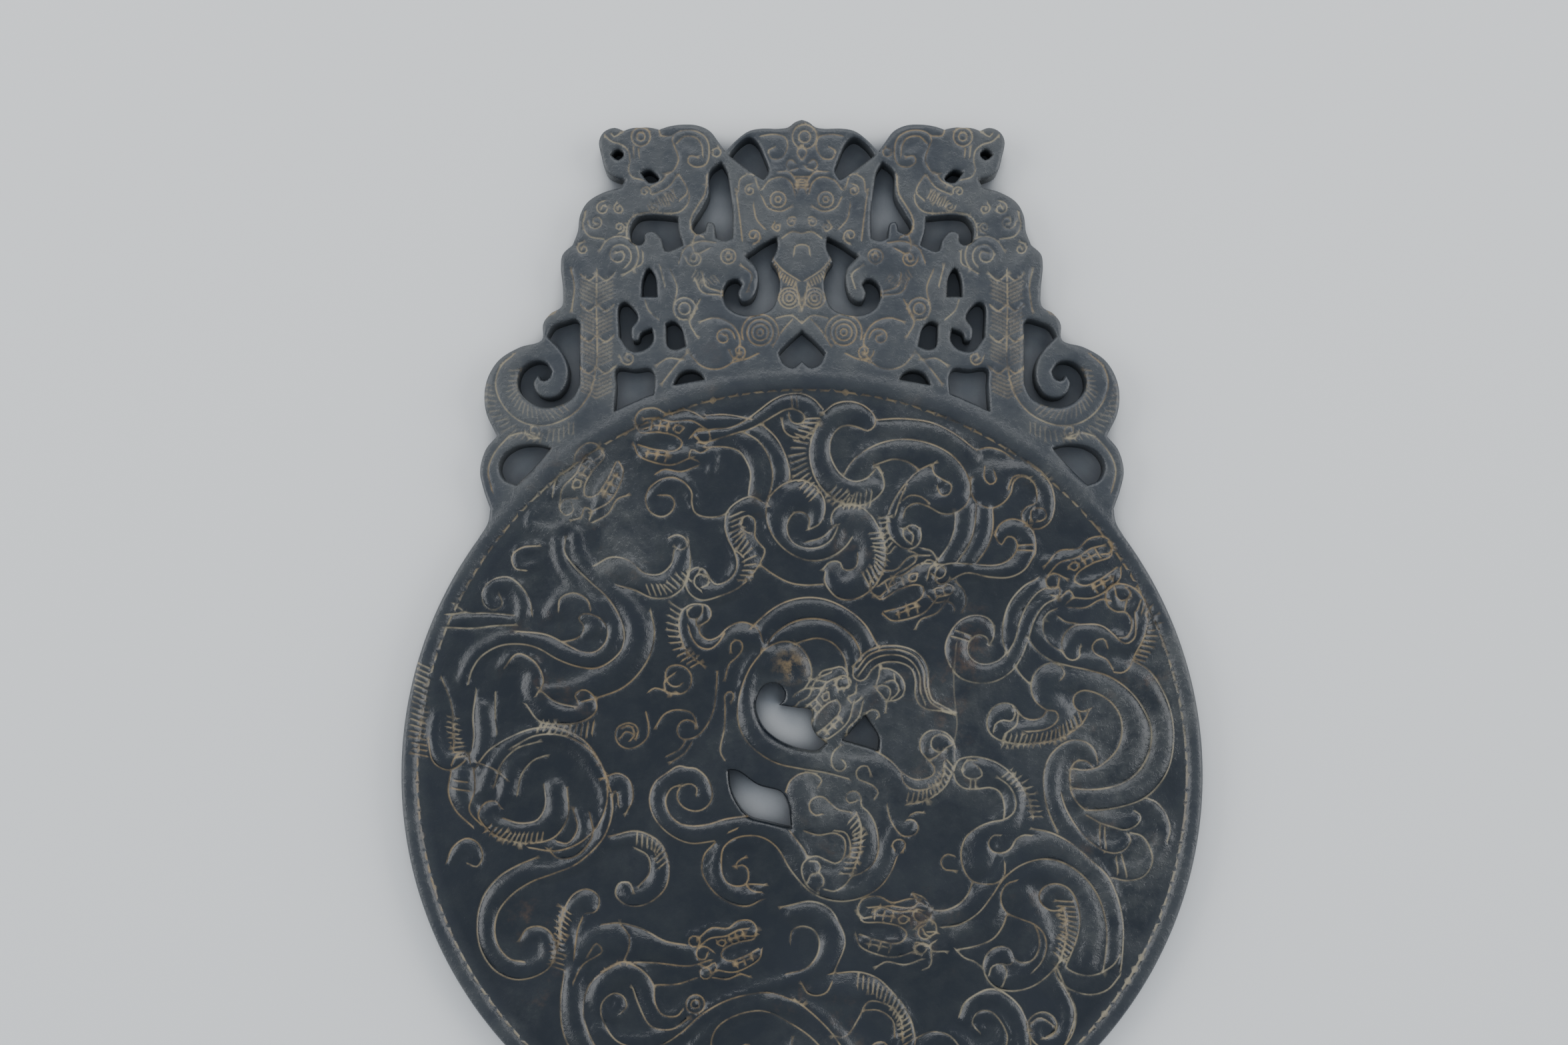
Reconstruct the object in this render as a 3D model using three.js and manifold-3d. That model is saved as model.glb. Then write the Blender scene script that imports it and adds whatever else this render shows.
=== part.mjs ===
// A flat jade disc, pierced and carved in low relief with ten coiling dragons, under a tall
// openwork crest: two beasts back to back over a horned mask, birds, and scrolled tails.
// It is one piece of stone, lying on its plain back. Millimetres, +Z up, +Y towards the crest.
// The carving is laid out about the disc's centre. The crest is the same on both sides of x = 0,
// so its outline and openings are given once, for x > 0.
import * as THREE from 'three';
import { mergeVertices } from 'three/addons/utils/BufferGeometryUtils.js';
import Module from 'manifold-3d';

// Driving dimensions
const DISC_RADIUS = 100;
const CREST_TOP = 164.6;        // from the disc's centre to the top of the crest
const RIM_HEIGHT = 7;
const RIM_WIDTH = 4.2;
const FIELD_HEIGHT = 5.6;       // the ground that the dragons stand on
const CREST_HEIGHT = 6.5;
const EDGE = 0.9;               // how far the rim's outer arris is worn back
const COLLAR_RADIUS = 101.6;    // the rim's edge where it runs under the crest
const RELIEF_MAX = 1.8;         // the most that a dragon stands over the ground
const RELIEF_ROOT = 0.5;        // how deep its solid is let into the ground
const CREST_RELIEF = 0.8;
const COLLAR_REACH = THREE.MathUtils.degToRad(47);   // where the collar starts, up from +X
const RIM_ROUND = 1.2;          // how far the rim's inner slope runs
const DISC_SIDES = 80;
const COLLAR_SIDES = 28;
const FOOT_SIDES = 30;
const BOSS_SIDES = 9;
const BOSS_TOP = 0.55;          // a boss's flat top, as a share of its radius
const STRAP_FOOT = 1.1;         // a strap's foot and top, as shares of its half width
const STRAP_TOP = 0.5;
const RISE_LEAST = 0.35;        // the share of its greatest rise that any strap has
const RISE_PER_WIDTH = 0.22;    // and what each millimetre of its half width adds
const CREST_FOOT = Math.atan2(59.8, 80.2);           // where the crest's edge meets the disc
const OUTLINE_STEP = 3.5;
const BODY_STEP = 8.6;
const STONE = { color: 0x262c31, roughness: 0.24, metalness: 0 };

// The crest's outer edge from the knob on the axis down to the disc: each row is one smooth run,
// and there is a corner between two rows.
const CREST_EDGE = [
  [[0, 164.6], [1.8, 163.9], [3.4, 162.6], [5.4, 162.2], [10.5, 162.3], [13.4, 161.6], [16.4, 159.4],
   [19.3, 156.5]],
  [[19.3, 156.5], [21, 158.8], [23.2, 161.6], [26.2, 163], [29.8, 163.3], [33.4, 162.9], [36, 162.1]],
  [[36, 162.1], [39.6, 162.6], [42.6, 162.4], [45, 161.8]],
  [[45, 161.8], [47.4, 162.5], [50, 161.4], [51.2, 159], [50.5, 155], [49.4, 151.4], [47.2, 149.9],
   [44.6, 149.2]],
  [[44.6, 149.2], [45.5, 147.3]],
  [[45.5, 147.3], [50.2, 145.9], [54, 143.5], [55.9, 140.2], [56.5, 136], [57.8, 132.7]],
  [[57.8, 132.7], [60.3, 130.2], [60.7, 127], [60.1, 121], [60.4, 117], [63.4, 115.1], [65.1, 112.6],
   [65.4, 108.6], [71, 106.7], [76.4, 103.2], [79.4, 97.4], [79.4, 90.6], [76.6, 84.3]],
  [[76.6, 84.3], [79.4, 80.9], [80.8, 75.6], [79.9, 70.8], [78.2, 66]],
  [[78.2, 66], [78.6, 62.6], [80.2, 59.8]],
];

// The openings through the crest, by the places that they open up.
const CREST_HOLES = {
  earLoop: [
    [[63, 81.2], [66.6, 82.1], [71.2, 81.7], [74.8, 79.3], [76, 76.2], [74.6, 73.2], [71.6, 72]],
    [[71.6, 72], [67.6, 75.8], [63, 81.2]]],
  tailScroll: [
    [[64, 109.5], [62.6, 111.9], [59.6, 113.2], [56.8, 113.7], [55.9, 112.5]],
    [[55.9, 112.5], [55.9, 97.4]],
    [[55.9, 97.4], [57.6, 94], [61.2, 91.9], [65.4, 91.6], [69.2, 93.5], [71.4, 96.8], [70.6, 100.8],
     [67.6, 103], [64.6, 102.8], [62.9, 100.5]],
    [[62.9, 100.5], [63.7, 98.7], [65.3, 98.3], [66.3, 99.8]],
    [[66.3, 99.8], [67.5, 97.8], [66.6, 95], [64.2, 93.8], [61.2, 94.5], [59, 97.6], [58.7, 101.6],
     [60.2, 105.4], [64, 109.5]]],
  belly: [
    [[43, 133.4], [43.2, 136.8], [41.2, 139.7], [37.4, 140.2], [31.3, 139.6]],
    [[31.3, 139.6], [31.1, 136], [30, 132.6]],
    [[30, 132.6], [34.3, 131.1], [35.4, 134.2], [37.6, 136.2], [39.7, 135.5], [39.8, 133.4], [41, 132.6],
     [43, 133.4]]],
  wingSlot: [
    [[40.3, 119.5], [40, 124], [38.6, 126.8], [36.9, 124.4], [36.5, 119.5]],
    [[36.5, 119.5], [40.3, 119.5]]],
  hook: [
    [[45.9, 109.4], [45.9, 117.4], [44.4, 118.1], [41.3, 114.2], [42.9, 111.4], [42.5, 108.4],
     [41.2, 108.4], [40.4, 110.3], [37.8, 111.4]],
    [[37.8, 111.4], [37.4, 108.4], [39.6, 106], [43, 105.8], [45.9, 109.4]]],
  breastSlot: [
    [[34.2, 112.6], [33.6, 106.7], [31.6, 106.1], [29.3, 107]],
    [[29.3, 107], [30.4, 111.6], [32.4, 113.3], [34.2, 112.6]]],
  window: [
    [[47.1, 90.6], [46.7, 97], [46.6, 101.2], [42, 101], [38.2, 101.2], [37.1, 99.4], [37.3, 95]],
    [[37.3, 95], [42.4, 92.8], [47.1, 90.6]]],
  lens: [
    [[32.3, 97.2], [30.6, 100], [28.2, 100.8], [25.8, 100.2], [24.6, 98.6]],
    [[24.6, 98.6], [28.6, 97.8], [32.3, 97.2]]],
  throat: [
    [[20.4, 153.6], [23.1, 151.2], [23.4, 145.2], [25.4, 141.2], [27.6, 137.2], [26.4, 135.4],
     [24.4, 136.2]],
    [[24.4, 136.2], [23.8, 138.4], [22.2, 138.2], [21.6, 134.4]],
    [[21.6, 134.4], [19.6, 133.7], [17.6, 134.3]],
    [[17.6, 134.3], [17.5, 140.4], [18.2, 147], [19, 151.4], [20.4, 153.6]]],
  horn: [
    [[18.3, 155.4], [15.9, 158.4], [13.2, 160], [11.2, 158.6], [9.6, 155.2], [8.4, 151.3], [9.7, 149.3]],
    [[9.7, 149.3], [13.6, 151.7], [18.3, 155.4]]],
  beak: [
    [[14.2, 129.8], [11.4, 131.8], [8.6, 133.6], [6.4, 134.6]],
    [[6.4, 134.6], [6.2, 131.8], [7.9, 128.4]],
    [[7.9, 128.4], [6, 125.4], [5.8, 121], [7.5, 116.6], [11.4, 114.8], [15.6, 115], [18.8, 117],
     [19.8, 120.4], [18.6, 123.2], [16.4, 123.9], [15.2, 122.6]],
    [[15.2, 122.6], [16.1, 120.2], [15, 118.2], [12.6, 119], [11.1, 122.4], [11.3, 126.4],
     [14.2, 129.8]]],
  nostril: [
    [[48.2, 155.6], [46.6, 157], [44.9, 155.7], [46.4, 154.2], [48.2, 155.6]]],
  jaw: [
    [[40.6, 151], [38.4, 151.7], [35.9, 149.2], [38.4, 148.4], [40.6, 151]]],
};

// The opening on the axis, at the foot of the crest.
const CENTRE_HOLE = [
  [[-5.8, 105.2], [-3.2, 108], [0, 110.8]],
  [[0, 110.8], [3.2, 108], [5.8, 105.2]],
  [[5.8, 105.2], [4.6, 102.6], [2, 101.6], [0, 103.3]],
  [[0, 103.3], [-2, 101.6], [-4.6, 102.6], [-5.8, 105.2]],
];

// The three piercings of the disc, between the middle dragon's jaws and its coil.
const DISC_HOLES = [
  [[[-4.3, 20], [-6, 22], [-9.2, 21.8], [-11.5, 17.6], [-10, 12], [-6, 8.2], [0, 5.8], [4, 5.5],
    [6, 7.2]],
    [[6, 7.2], [3.4, 9.6], [2.3, 12.2], [2.4, 15.4], [-2, 16.2], [-5.8, 16.8]],
    [[-5.8, 16.8], [-4.4, 18.2], [-4.3, 20]]],
  [[[15.8, 14.2], [13.4, 11.4], [10.2, 8]],
    [[10.2, 8], [14, 7], [19, 5.4]],
    [[19, 5.4], [19.2, 8.6], [15.8, 14.2]]],
  [[[-18.4, 0.6], [-16, 0.2], [-11, -3.2], [-5.2, -5], [-3.7, -7.6], [-2.7, -13.8]],
    [[-2.7, -13.8], [-8.4, -12.4], [-13.5, -10.8], [-17.4, -5.2], [-18.4, 0.6]]],
];

// The dragons: each row is one limb or length of body, as [x, y, half its width] along its middle.
const DRAGONS = {
  middle: {
    neck: [[16.7, 29, 2], [14.5, 35, 2.3], [9.5, 39.2, 2.5], [2, 41, 2.6], [-5, 39.2, 2.6],
      [-11.5, 33, 2.2]],
    innerNeck: [[12.7, 27.5, 1.6], [11.3, 32, 2.1], [5.4, 35.7, 2.4], [-2, 35, 2.3], [-6.5, 33.4, 1.4]],
    coil: [[-9.6, 30, 1.6], [-12.8, 26, 2.1], [-14, 17, 2], [-11, 8.4, 2.4], [-4, 4, 2.6], [8, 2.4, 2.4],
      [20, 0.8, 2.6], [26, -3.6, 2.8], [33, -4, 2.3], [36.7, 1, 2], [36.2, 7, 1.9], [32.6, 8.8, 1.8],
      [31, 5, 1.4]],
    tail: [[-8.5, 27, 2.6], [-3.6, 28.6, 3.4], [-0.6, 25, 2.6], [-1.4, 22.2, 1.4]],
    arm: [[-11, 33, 2.4], [-16, 33.4, 3.2], [-21, 30.6, 3], [-25.5, 30, 2.8], [-28.8, 34, 2.4],
      [-28.6, 39.6, 1.9], [-25.4, 41.6, 1.8], [-24, 38.6, 1.4]],
    mane: [[14.4, 25.4, 1.7], [16.8, 29, 2], [22, 30.2, 2.1], [28, 27.6, 2], [30.2, 21, 1.9],
      [33, 16.4, 1.3], [38, 14.7, 0.7]],
    upperJaw: [[9.4, 24.4, 2], [6.8, 20, 2.4], [5, 15.6, 2.1], [3.4, 11.6, 1.2]],
    lowerJaw: [[22.6, 22, 3.2], [17.4, 18.6, 2.8], [12.4, 14, 2.8], [8.6, 10.4, 1.8], [6.2, 8.2, 0.8]],
  },
  lower: {
    tail: [[-24.4, -5, 1.6], [-26.4, -1, 2.2], [-31, -0.8, 2.3], [-35.6, -4.6, 2.2], [-34.6, -11, 2.3],
      [-28, -15.2, 2.4], [-19, -14.3, 2.7], [-9, -14, 2.8], [-2, -18.6, 2.7], [2.8, -26.6, 2.5],
      [10, -30, 2], [17, -27.4, 2.5], [21, -21, 2.5], [23.4, -14, 1.9]],
    frill: [[-11.6, -17.4, 1.3], [-18.6, -18.4, 1.8], [-21.4, -23.6, 1.8], [-18.6, -29.6, 1.9],
      [-12.4, -31, 1.6], [-8.4, -27.6, 0.9]],
    leg: [[-0.6, -4, 3.4], [2.4, -11, 3.6], [10.4, -12, 3.2], [15.6, -15.4, 2.9], [14.6, -22.4, 2.8],
      [8, -26.4, 2.2], [2.6, -25, 1.9], [2.8, -22.6, 1.2]],
    curl: [[23, -17.6, 1.4], [26, -14.6, 1.8], [27.6, -12.6, 1.2]],
  },
  top: {
    back: [[-26, 84.4, 1], [-18, 85.3, 1.4], [-10, 89, 1.9], [-4, 92.7, 2.1], [1.6, 91.8, 2.2],
      [3.2, 88, 2], [0, 85.1, 1.8], [-4.2, 86.6, 1.2]],
    neck: [[-12.4, 85, 2.2], [-8, 81.4, 2.7], [-5.7, 76, 2.8], [-7.6, 69.6, 2]],
    innerNeck: [[-15.8, 83.4, 1.6], [-12, 80.4, 2.6], [-10.6, 75, 2.7], [-11, 70, 2.6]],
    foreLeg: [[-9.6, 66, 2], [-14, 66.2, 2.8], [-17, 61.6, 2.9], [-14.4, 53, 3], [-17.6, 46.4, 2.8],
      [-24, 44.6, 2.4], [-28.2, 48, 2], [-25.4, 50.4, 1.6]],
    haunch: [[3.6, 62.6, 1.5], [3.8, 67, 2.2], [-1, 69.4, 3.4], [-6, 65, 3], [-5.8, 58.4, 2.4],
      [1, 54.8, 1.8], [7.4, 56.8, 2.1], [9.4, 62.6, 2.6], [14.6, 63, 3.4], [17.8, 55.4, 3],
      [14.6, 47.8, 2.8], [9, 46.4, 2.4], [7.3, 50, 1.6]],
    swirl: [[-37.4, 69.4, 1.1], [-33.6, 72.9, 1.7], [-28.8, 71.4, 2], [-26.8, 65.6, 0.8]],
    upperJaw: [[-13.6, 88.3, 0.7], [-20, 88, 1.8], [-27, 87.6, 2.4], [-34, 86.2, 2.3],
      [-40.8, 83.4, 1.3]],
    lowerJaw: [[-24, 79.4, 1.8], [-29.6, 79.2, 2], [-35, 79, 2.1], [-39.6, 78.6, 1.6]],
    cheek: [[-25.6, 81.4, 1.2], [-22.4, 79.8, 1.6], [-22.8, 75.4, 1.4]],
  },
  topRight: {
    tail: [[16.6, 88.6, 2.2], [12, 90.2, 3], [6.6, 87, 2.8], [4.4, 80, 2.6], [6.6, 74, 2.8],
      [12.4, 70.6, 2.9], [18.8, 71.4, 1.8]],
    back: [[17.4, 86.4, 1.7], [26, 86.1, 2.4], [35, 84.2, 2.8], [42.4, 78.6, 2.8]],
    belly: [[12, 75.8, 1.4], [16.6, 79.2, 2.4], [26, 80.8, 2.8], [35, 78, 3.4], [39, 71.6, 3.5],
      [34.4, 67.6, 2.6], [29.6, 69, 1.4]],
    hindLeg: [[32.6, 73.4, 3], [26.8, 70.4, 2.7], [22.9, 64.4, 2.1], [25, 58.2, 2], [28.6, 60, 1.6],
      [26.4, 61.6, 1]],
    shoulder: [[43.6, 74.6, 2.4], [47.6, 72.6, 5.4], [51.6, 74.6, 3], [56.8, 75, 2.4], [61, 70.6, 2.2],
      [60.6, 63.6, 2], [56.6, 63, 1.7], [57.8, 66.8, 1.2]],
    neck: [[41, 66, 2.6], [40.3, 60, 2.7], [36.6, 53, 2.2]],
    innerNeck: [[45.8, 66, 2], [45.4, 60, 2.1], [41.6, 53, 1.8]],
    horn: [[34.5, 48.2, 1.1], [38, 50.6, 1.6], [47, 50, 1.7], [54.6, 51.4, 2.1], [57.2, 56.6, 2.1],
      [54, 61, 1.9], [49.6, 59.4, 1.3]],
    upperJaw: [[33, 50.4, 1.8], [28, 47.4, 2.6], [21.2, 43.2, 1.3]],
    lowerJaw: [[37, 45, 2], [30, 42.8, 2.2], [24, 39.6, 1.3]],
  },
  right: {
    horn: [[47.6, 33.6, 1], [44.6, 37, 2], [39.8, 35.2, 2.5], [38.8, 28.6, 2.7], [44.4, 24.5, 2.5],
      [51, 26.4, 2.3], [54.8, 33.6, 2.4], [58, 39.8, 2.4], [62.6, 44, 1.6]],
    neck: [[52, 33, 0.9], [52.8, 40, 2], [58.6, 46.8, 2.1]],
    back: [[59, 34, 1.4], [66, 28.4, 2.2], [76, 26.8, 2.5], [84.6, 22.6, 2.8], [89.8, 13, 2.8],
      [89, 2.4, 2.8], [81.6, -5, 2.8], [69, -6.6, 2.6]],
    belly: [[61.6, 22.4, 3.8], [69, 23, 2.6], [78, 19.8, 2.9], [83.3, 11, 3.2], [80.2, 1.6, 3],
      [69, -1.5, 2.2]],
    hindLeg: [[61.4, 18, 3.4], [65.4, 13.4, 2.4], [59, 10.6, 2.5], [51.4, 10, 2.3], [48.6, 13.4, 1.9],
      [52, 15.4, 1.3]],
    foreLeg: [[66.8, 30.6, 2], [70.4, 34.4, 3], [77, 32.8, 3], [82.6, 32.6, 2.7], [85.4, 39, 2.2],
      [82.6, 45.2, 2], [78, 44.6, 1.8], [78.4, 41.6, 1.2]],
    tail: [[73.6, 3, 1.1], [70, 7, 1.8], [64.6, 5, 2.1], [62.2, -3, 2], [64.8, -11.4, 2],
      [70.6, -17.4, 2.1], [77.4, -19.2, 2.1], [81.2, -16.6, 1.4]],
    hook: [[71, -10.6, 1.6], [77.4, -12.4, 2], [82.8, -11.6, 1.8]],
    fin: [[86.8, -8, 1.6], [90, -13.4, 2.2], [88.6, -20, 2], [83.4, -24.4, 2.1], [79, -23.6, 1.4]],
    upperJaw: [[60.6, 52.2, 1.8], [67, 52.4, 2.4], [73, 53, 2.1], [77, 53.5, 1.1]],
    lowerJaw: [[66, 43.8, 1.8], [71, 46, 2.5], [78.6, 49, 1.3]],
  },
  lowerRight: {
    back: [[33.4, -36.2, 1.8], [40.6, -34.8, 2.4], [46.6, -29.4, 2.9], [53.4, -21.4, 3.2],
      [62, -18.3, 3.1], [71, -23, 3], [77, -33.6, 2.7], [77.4, -47, 2.1]],
    belly: [[52.4, -27.4, 2.2], [60.6, -24.6, 2.8], [68.6, -28.4, 2.9], [72.2, -38, 3],
      [70.8, -47.4, 2.4]],
    throat: [[39, -40.5, 2.2], [45.4, -37.6, 2.8], [49.6, -31, 2]],
    foreLeg: [[44.6, -22.4, 3.6], [45.6, -16.4, 3.6], [51.6, -11.6, 2.8], [52.4, -4.2, 2.4],
      [46, 0.6, 2.3], [41, -0.2, 1.8], [43.4, -1.9, 1.1]],
    hindLeg: [[54, -30, 3.4], [57.6, -35.4, 3.2], [60.4, -41.4, 2.2], [56.4, -48.6, 2.1],
      [49.6, -51.6, 2], [46.8, -47.6, 1.9], [50.4, -44.9, 1.6], [52, -47.6, 1]],
    coil: [[60.6, -31.4, 1.8], [63.4, -29, 2], [67, -33, 2.2], [66.8, -40, 2.2], [64, -47, 1.6]],
    upperJaw: [[31, -34, 1.7], [24, -35.8, 2.2], [15.5, -36.6, 1.2]],
    lowerJaw: [[30, -43.2, 1.9], [22.6, -42.8, 2.3], [15.4, -41.6, 1.2]],
  },
  upperLeft: {
    neck: [[-61.2, 58, 1.9], [-60.2, 52.6, 2], [-56.4, 47, 2.2]],
    back: [[-56.6, 60, 1.8], [-55.6, 54.4, 2.3], [-49, 46.6, 2.2], [-43.8, 42, 2.4], [-40.9, 35, 3.1],
      [-43.6, 27.6, 3.3], [-51.4, 22.4, 3.2], [-60.6, 20.4, 1.8], [-67, 20.6, 2.6], [-66.6, 25.4, 2.6],
      [-72, 28.4, 2.2], [-75.4, 26.4, 1.1]],
    belly: [[-49.4, 42.4, 1.8], [-46.8, 35.6, 2.1], [-50.6, 28.6, 2.2], [-58.6, 29.2, 2.1],
      [-66, 32.6, 2], [-74, 33.4, 1.9], [-82, 28.6, 2.1], [-85, 23, 1.2]],
    breast: [[-62.4, 40, 2.4], [-58, 42.6, 4], [-52.8, 40, 3.4], [-51.4, 36, 2.2], [-54.4, 34.6, 1]],
    foreLeg: [[-50, 48.6, 2.2], [-44.6, 51.2, 2.9], [-39, 47.4, 2.4], [-33.4, 47.2, 2.3],
      [-30.3, 52.6, 1.9], [-29.6, 58, 1.6], [-32.6, 58.4, 1.2]],
    tail: [[-70.4, 38, 1.6], [-69.7, 42.6, 2], [-73, 47, 2.1], [-78.4, 45.4, 1.9], [-77.6, 41.2, 1.1]],
    claw: [[-71, 37.4, 1.2], [-79, 38.4, 1.2], [-88.4, 37.6, 1.4]],
    curl: [[-66.6, 51.8, 0.9], [-70.2, 51, 1.4], [-71.4, 54.6, 1.5], [-65, 56.9, 1.2]],
    frill: [[-64, 60.6, 1.2], [-68.2, 62, 1.3], [-67.4, 65.8, 1]],
    crown: [[-64.4, 60, 1.2], [-59.4, 61.6, 1.4], [-56.4, 65.8, 1.3]],
    upperJaw: [[-62, 70.2, 1.7], [-57, 73, 2.5], [-50.6, 78.6, 1.7]],
    lowerJaw: [[-51, 65.6, 1.4], [-49.6, 70.8, 2.3], [-45.8, 76.2, 1.2]],
  },
  left: {
    ring: [[-79.2, -4, 1.8], [-76, 3, 2.4], [-69.4, 8.2, 2.5], [-60, 9, 2.3], [-52, 1.6, 2],
      [-48.5, -8, 1.8], [-51, -19, 1.8], [-60, -24.2, 1.9], [-70, -25.8, 2.3], [-77.4, -33, 2.4],
      [-77.4, -43.4, 2.3], [-70.4, -49, 2.3], [-63.4, -46, 2], [-64.6, -40.2, 1.5], [-68.4, -40.8, 1]],
    neck: [[-79.7, 16, 2.2], [-79, 9, 2.6], [-80.6, 3.4, 1.8]],
    haunch: [[-73.8, -5, 2.2], [-71.6, 2, 2.4], [-65, 5.8, 1.1]],
    hindLeg: [[-61.4, -4, 2.6], [-61.6, -11, 2.8], [-67.4, -14.6, 2.3], [-75, -14, 2],
      [-78.6, -10.4, 1.8], [-75.8, -8.4, 1.3]],
    hoof: [[-84.6, -0.6, 2.6], [-84.8, -6, 2.6], [-80.6, -11, 1.6]],
    hook: [[-55.3, -9.8, 1.1], [-54.4, -15, 1.5], [-58, -19.6, 1.8], [-61.6, -18.4, 1.1]],
    foreLeg: [[-91.2, 14.6, 1.2], [-91.8, 8, 1.8], [-89.4, 3, 2], [-85, 3, 1.7]],
    arm: [[-67, 19, 2.2], [-63.4, 15.6, 2.4], [-57, 14.4, 2], [-53.2, 16.6, 2], [-55, 19.4, 1.6]],
    crescent: [[-87, -21.4, 1], [-84, -18, 1.5], [-81, -21, 1]],
    elbow: [[-48, -3.4, 1.4], [-45.2, -2.4, 2.1], [-44, -8, 1.6]],
    paw: [[-47.4, -17.6, 1.5], [-41, -16.6, 1.8], [-35.6, -20.4, 2.3], [-36.4, -28.4, 2.4],
      [-42, -31, 2.2], [-44.2, -28.2, 1.4]],
  },
  lowerLeft: {
    neck: [[-27.6, -45, 1.8], [-35, -43.8, 2.8], [-42, -42.6, 3.6]],
    shoulder: [[-44, -42.4, 3.8], [-50.4, -42, 4], [-55.6, -45, 2.8], [-58.6, -41, 2.2],
      [-57.6, -34.4, 2], [-53.8, -31.4, 1.8], [-52.4, -34.2, 1.2]],
    back: [[-56.6, -50, 2.4], [-57, -58, 2.7], [-54.4, -67, 2.7], [-47, -74, 2.6], [-38, -76.4, 2.4],
      [-29, -74.6, 2]],
    haunch: [[-45.6, -57, 1.2], [-47, -60.6, 1.6], [-50.6, -56.4, 2.4], [-47.2, -50.8, 3],
      [-41, -50.4, 3], [-37.8, -57, 2], [-34.6, -61.2, 2], [-29.6, -59.6, 1.8], [-27.4, -56.6, 1.6]],
    foot: [[-51, -63.6, 1.6], [-46, -66.4, 2], [-38.6, -66.6, 2.2], [-32, -64, 2]],
    upperJaw: [[-27, -40.4, 1.7], [-19.6, -40, 2.5], [-12, -39.6, 1.2]],
    lowerJaw: [[-24, -50, 1.5], [-17.4, -48, 2.3], [-10.8, -44.8, 1.2]],
  },
  bottom: {
    coil: [[-2.4, -35, 1.7], [3.4, -35.2, 2.7], [7.6, -40.4, 3.1], [5, -48, 2.8], [-3, -51.6, 2.1],
      [-10, -53.4, 1.6], [-20, -57.4, 1.8], [-29, -64.2, 1.8]],
    back: [[-26.6, -68, 2], [-18.6, -60.2, 2.4], [-8, -57, 2.5], [3, -60.2, 2.6], [10.4, -69, 2.6],
      [12, -79, 2.4], [6, -86, 2], [-2, -86.4, 1.4]],
    hindLeg: [[3, -53, 2.2], [9.6, -54, 3], [17, -54, 2.6], [23.6, -58.6, 2.4], [26, -66, 2.3],
      [22.4, -72.4, 2], [18.4, -69, 1.5], [21.4, -66.6, 1.2]],
    curl: [[43.8, -64, 1.2], [44.4, -60.6, 1.6], [49, -60.6, 2], [49.8, -66.4, 2], [43.4, -69.4, 2],
      [38, -66, 2], [33, -66.4, 2], [29, -70.6, 1.8], [29.4, -78, 1.6]],
    arch: [[41, -61, 1.7], [43.6, -56.4, 2], [49, -56.4, 2.1], [53.6, -61.4, 2], [54.4, -69, 1.8],
      [49, -77, 1.8], [40, -82.4, 1.6]],
    lobe: [[60.6, -64.6, 1], [61.8, -62.6, 1.4], [58.6, -62.4, 1.6], [59, -66.6, 1.8], [64.4, -66, 1.8],
      [66, -59, 1.6], [63.6, -53.4, 1.4]],
    scroll: [[-15, -68.6, 1.1], [-13.6, -72.4, 1.6], [-18.4, -75.4, 1.9], [-22, -70.4, 1.8]],
    wave: [[-36, -86, 1.2], [-26, -84.6, 1.8], [-16, -82.6, 2], [-7, -76, 2], [-4, -68.6, 1.8]],
    jaw: [[18, -86.6, 1.2], [24, -85.4, 2.2], [31, -84.4, 1.4]],
  },
};

// Forms that stand over the crest's face, for x > 0.
const CREST_STRAPS = {
  horn: [[24.6, 154, 1.2], [24.4, 159, 1.5], [29, 160.8, 1.5], [32, 159.6, 1]],
  cheek: [[30, 156.6, 1], [28, 154.6, 2.2], [25.4, 153.6, 1.2]],
  shoulder: [[48, 140, 1.4], [51.4, 141, 2.2], [51.6, 136.6, 2.4], [54.6, 134.4, 1.4]],
  tail: [[57.4, 130.4, 1.6], [52.4, 122, 3.4], [51.6, 106, 3.6], [54.6, 93, 3.6], [64, 87.6, 3.4],
    [73.4, 92, 3.2], [75, 99.6, 2.6], [69, 104.8, 1.6]],
  wing: [[36.6, 128.4, 1.2], [34, 122, 1.5], [34.4, 117.4, 1.3]],
  birdHead: [[27.4, 128.6, 3], [20, 129, 3.6], [14.4, 127, 1.6], [13.4, 123, 1.4]],
  brow: [[1.6, 151, 1], [4.6, 150, 1.4], [9.4, 152.4, 0.9]],
  earFlap: [[12.6, 146.4, 1.3], [16, 144, 0.9], [14.6, 136, 2.2], [11.4, 134.6, 1.6]],
  muzzle: [[1.2, 137.4, 1.6], [4.6, 137, 1.5], [6, 135, 1]],
};
const CREST_BOSSES = [[46, 129.8, 4.4], [29.6, 116.6, 3], [22, 107.4, 6.2], [15.8, 105.4, 2.5],
  [67.2, 85.4, 3], [6, 144, 2.2], [43.6, 103.8, 2.2], [10.5, 110.3, 3.2], [3.2, 119, 2.5],
  [27, 129, 2.2]];

const wasm = await Module();
wasm.setup();

function toSolid(geometry) {
  const bare = geometry.index ? geometry.toNonIndexed() : geometry.clone();
  bare.deleteAttribute('normal');
  bare.deleteAttribute('uv');
  const merged = mergeVertices(bare, 1e-4);
  return new wasm.Manifold(new wasm.Mesh({
    numProp: 3,
    vertProperties: new Float32Array(merged.attributes.position.array),
    triVerts: new Uint32Array(merged.index.array),
  }));
}

function toGeometry(solid) {
  const mesh = solid.getMesh();
  const geometry = new THREE.BufferGeometry();
  geometry.setAttribute('position', new THREE.BufferAttribute(new Float32Array(mesh.vertProperties), 3));
  geometry.setIndex(new THREE.BufferAttribute(new Uint32Array(mesh.triVerts), 1));
  geometry.computeVertexNormals();
  return geometry;
}

const curveThrough = (points) => new THREE.CatmullRomCurve3(
  points.map(([x, y]) => new THREE.Vector3(x, y, 0)), false, 'centripetal');

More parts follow.
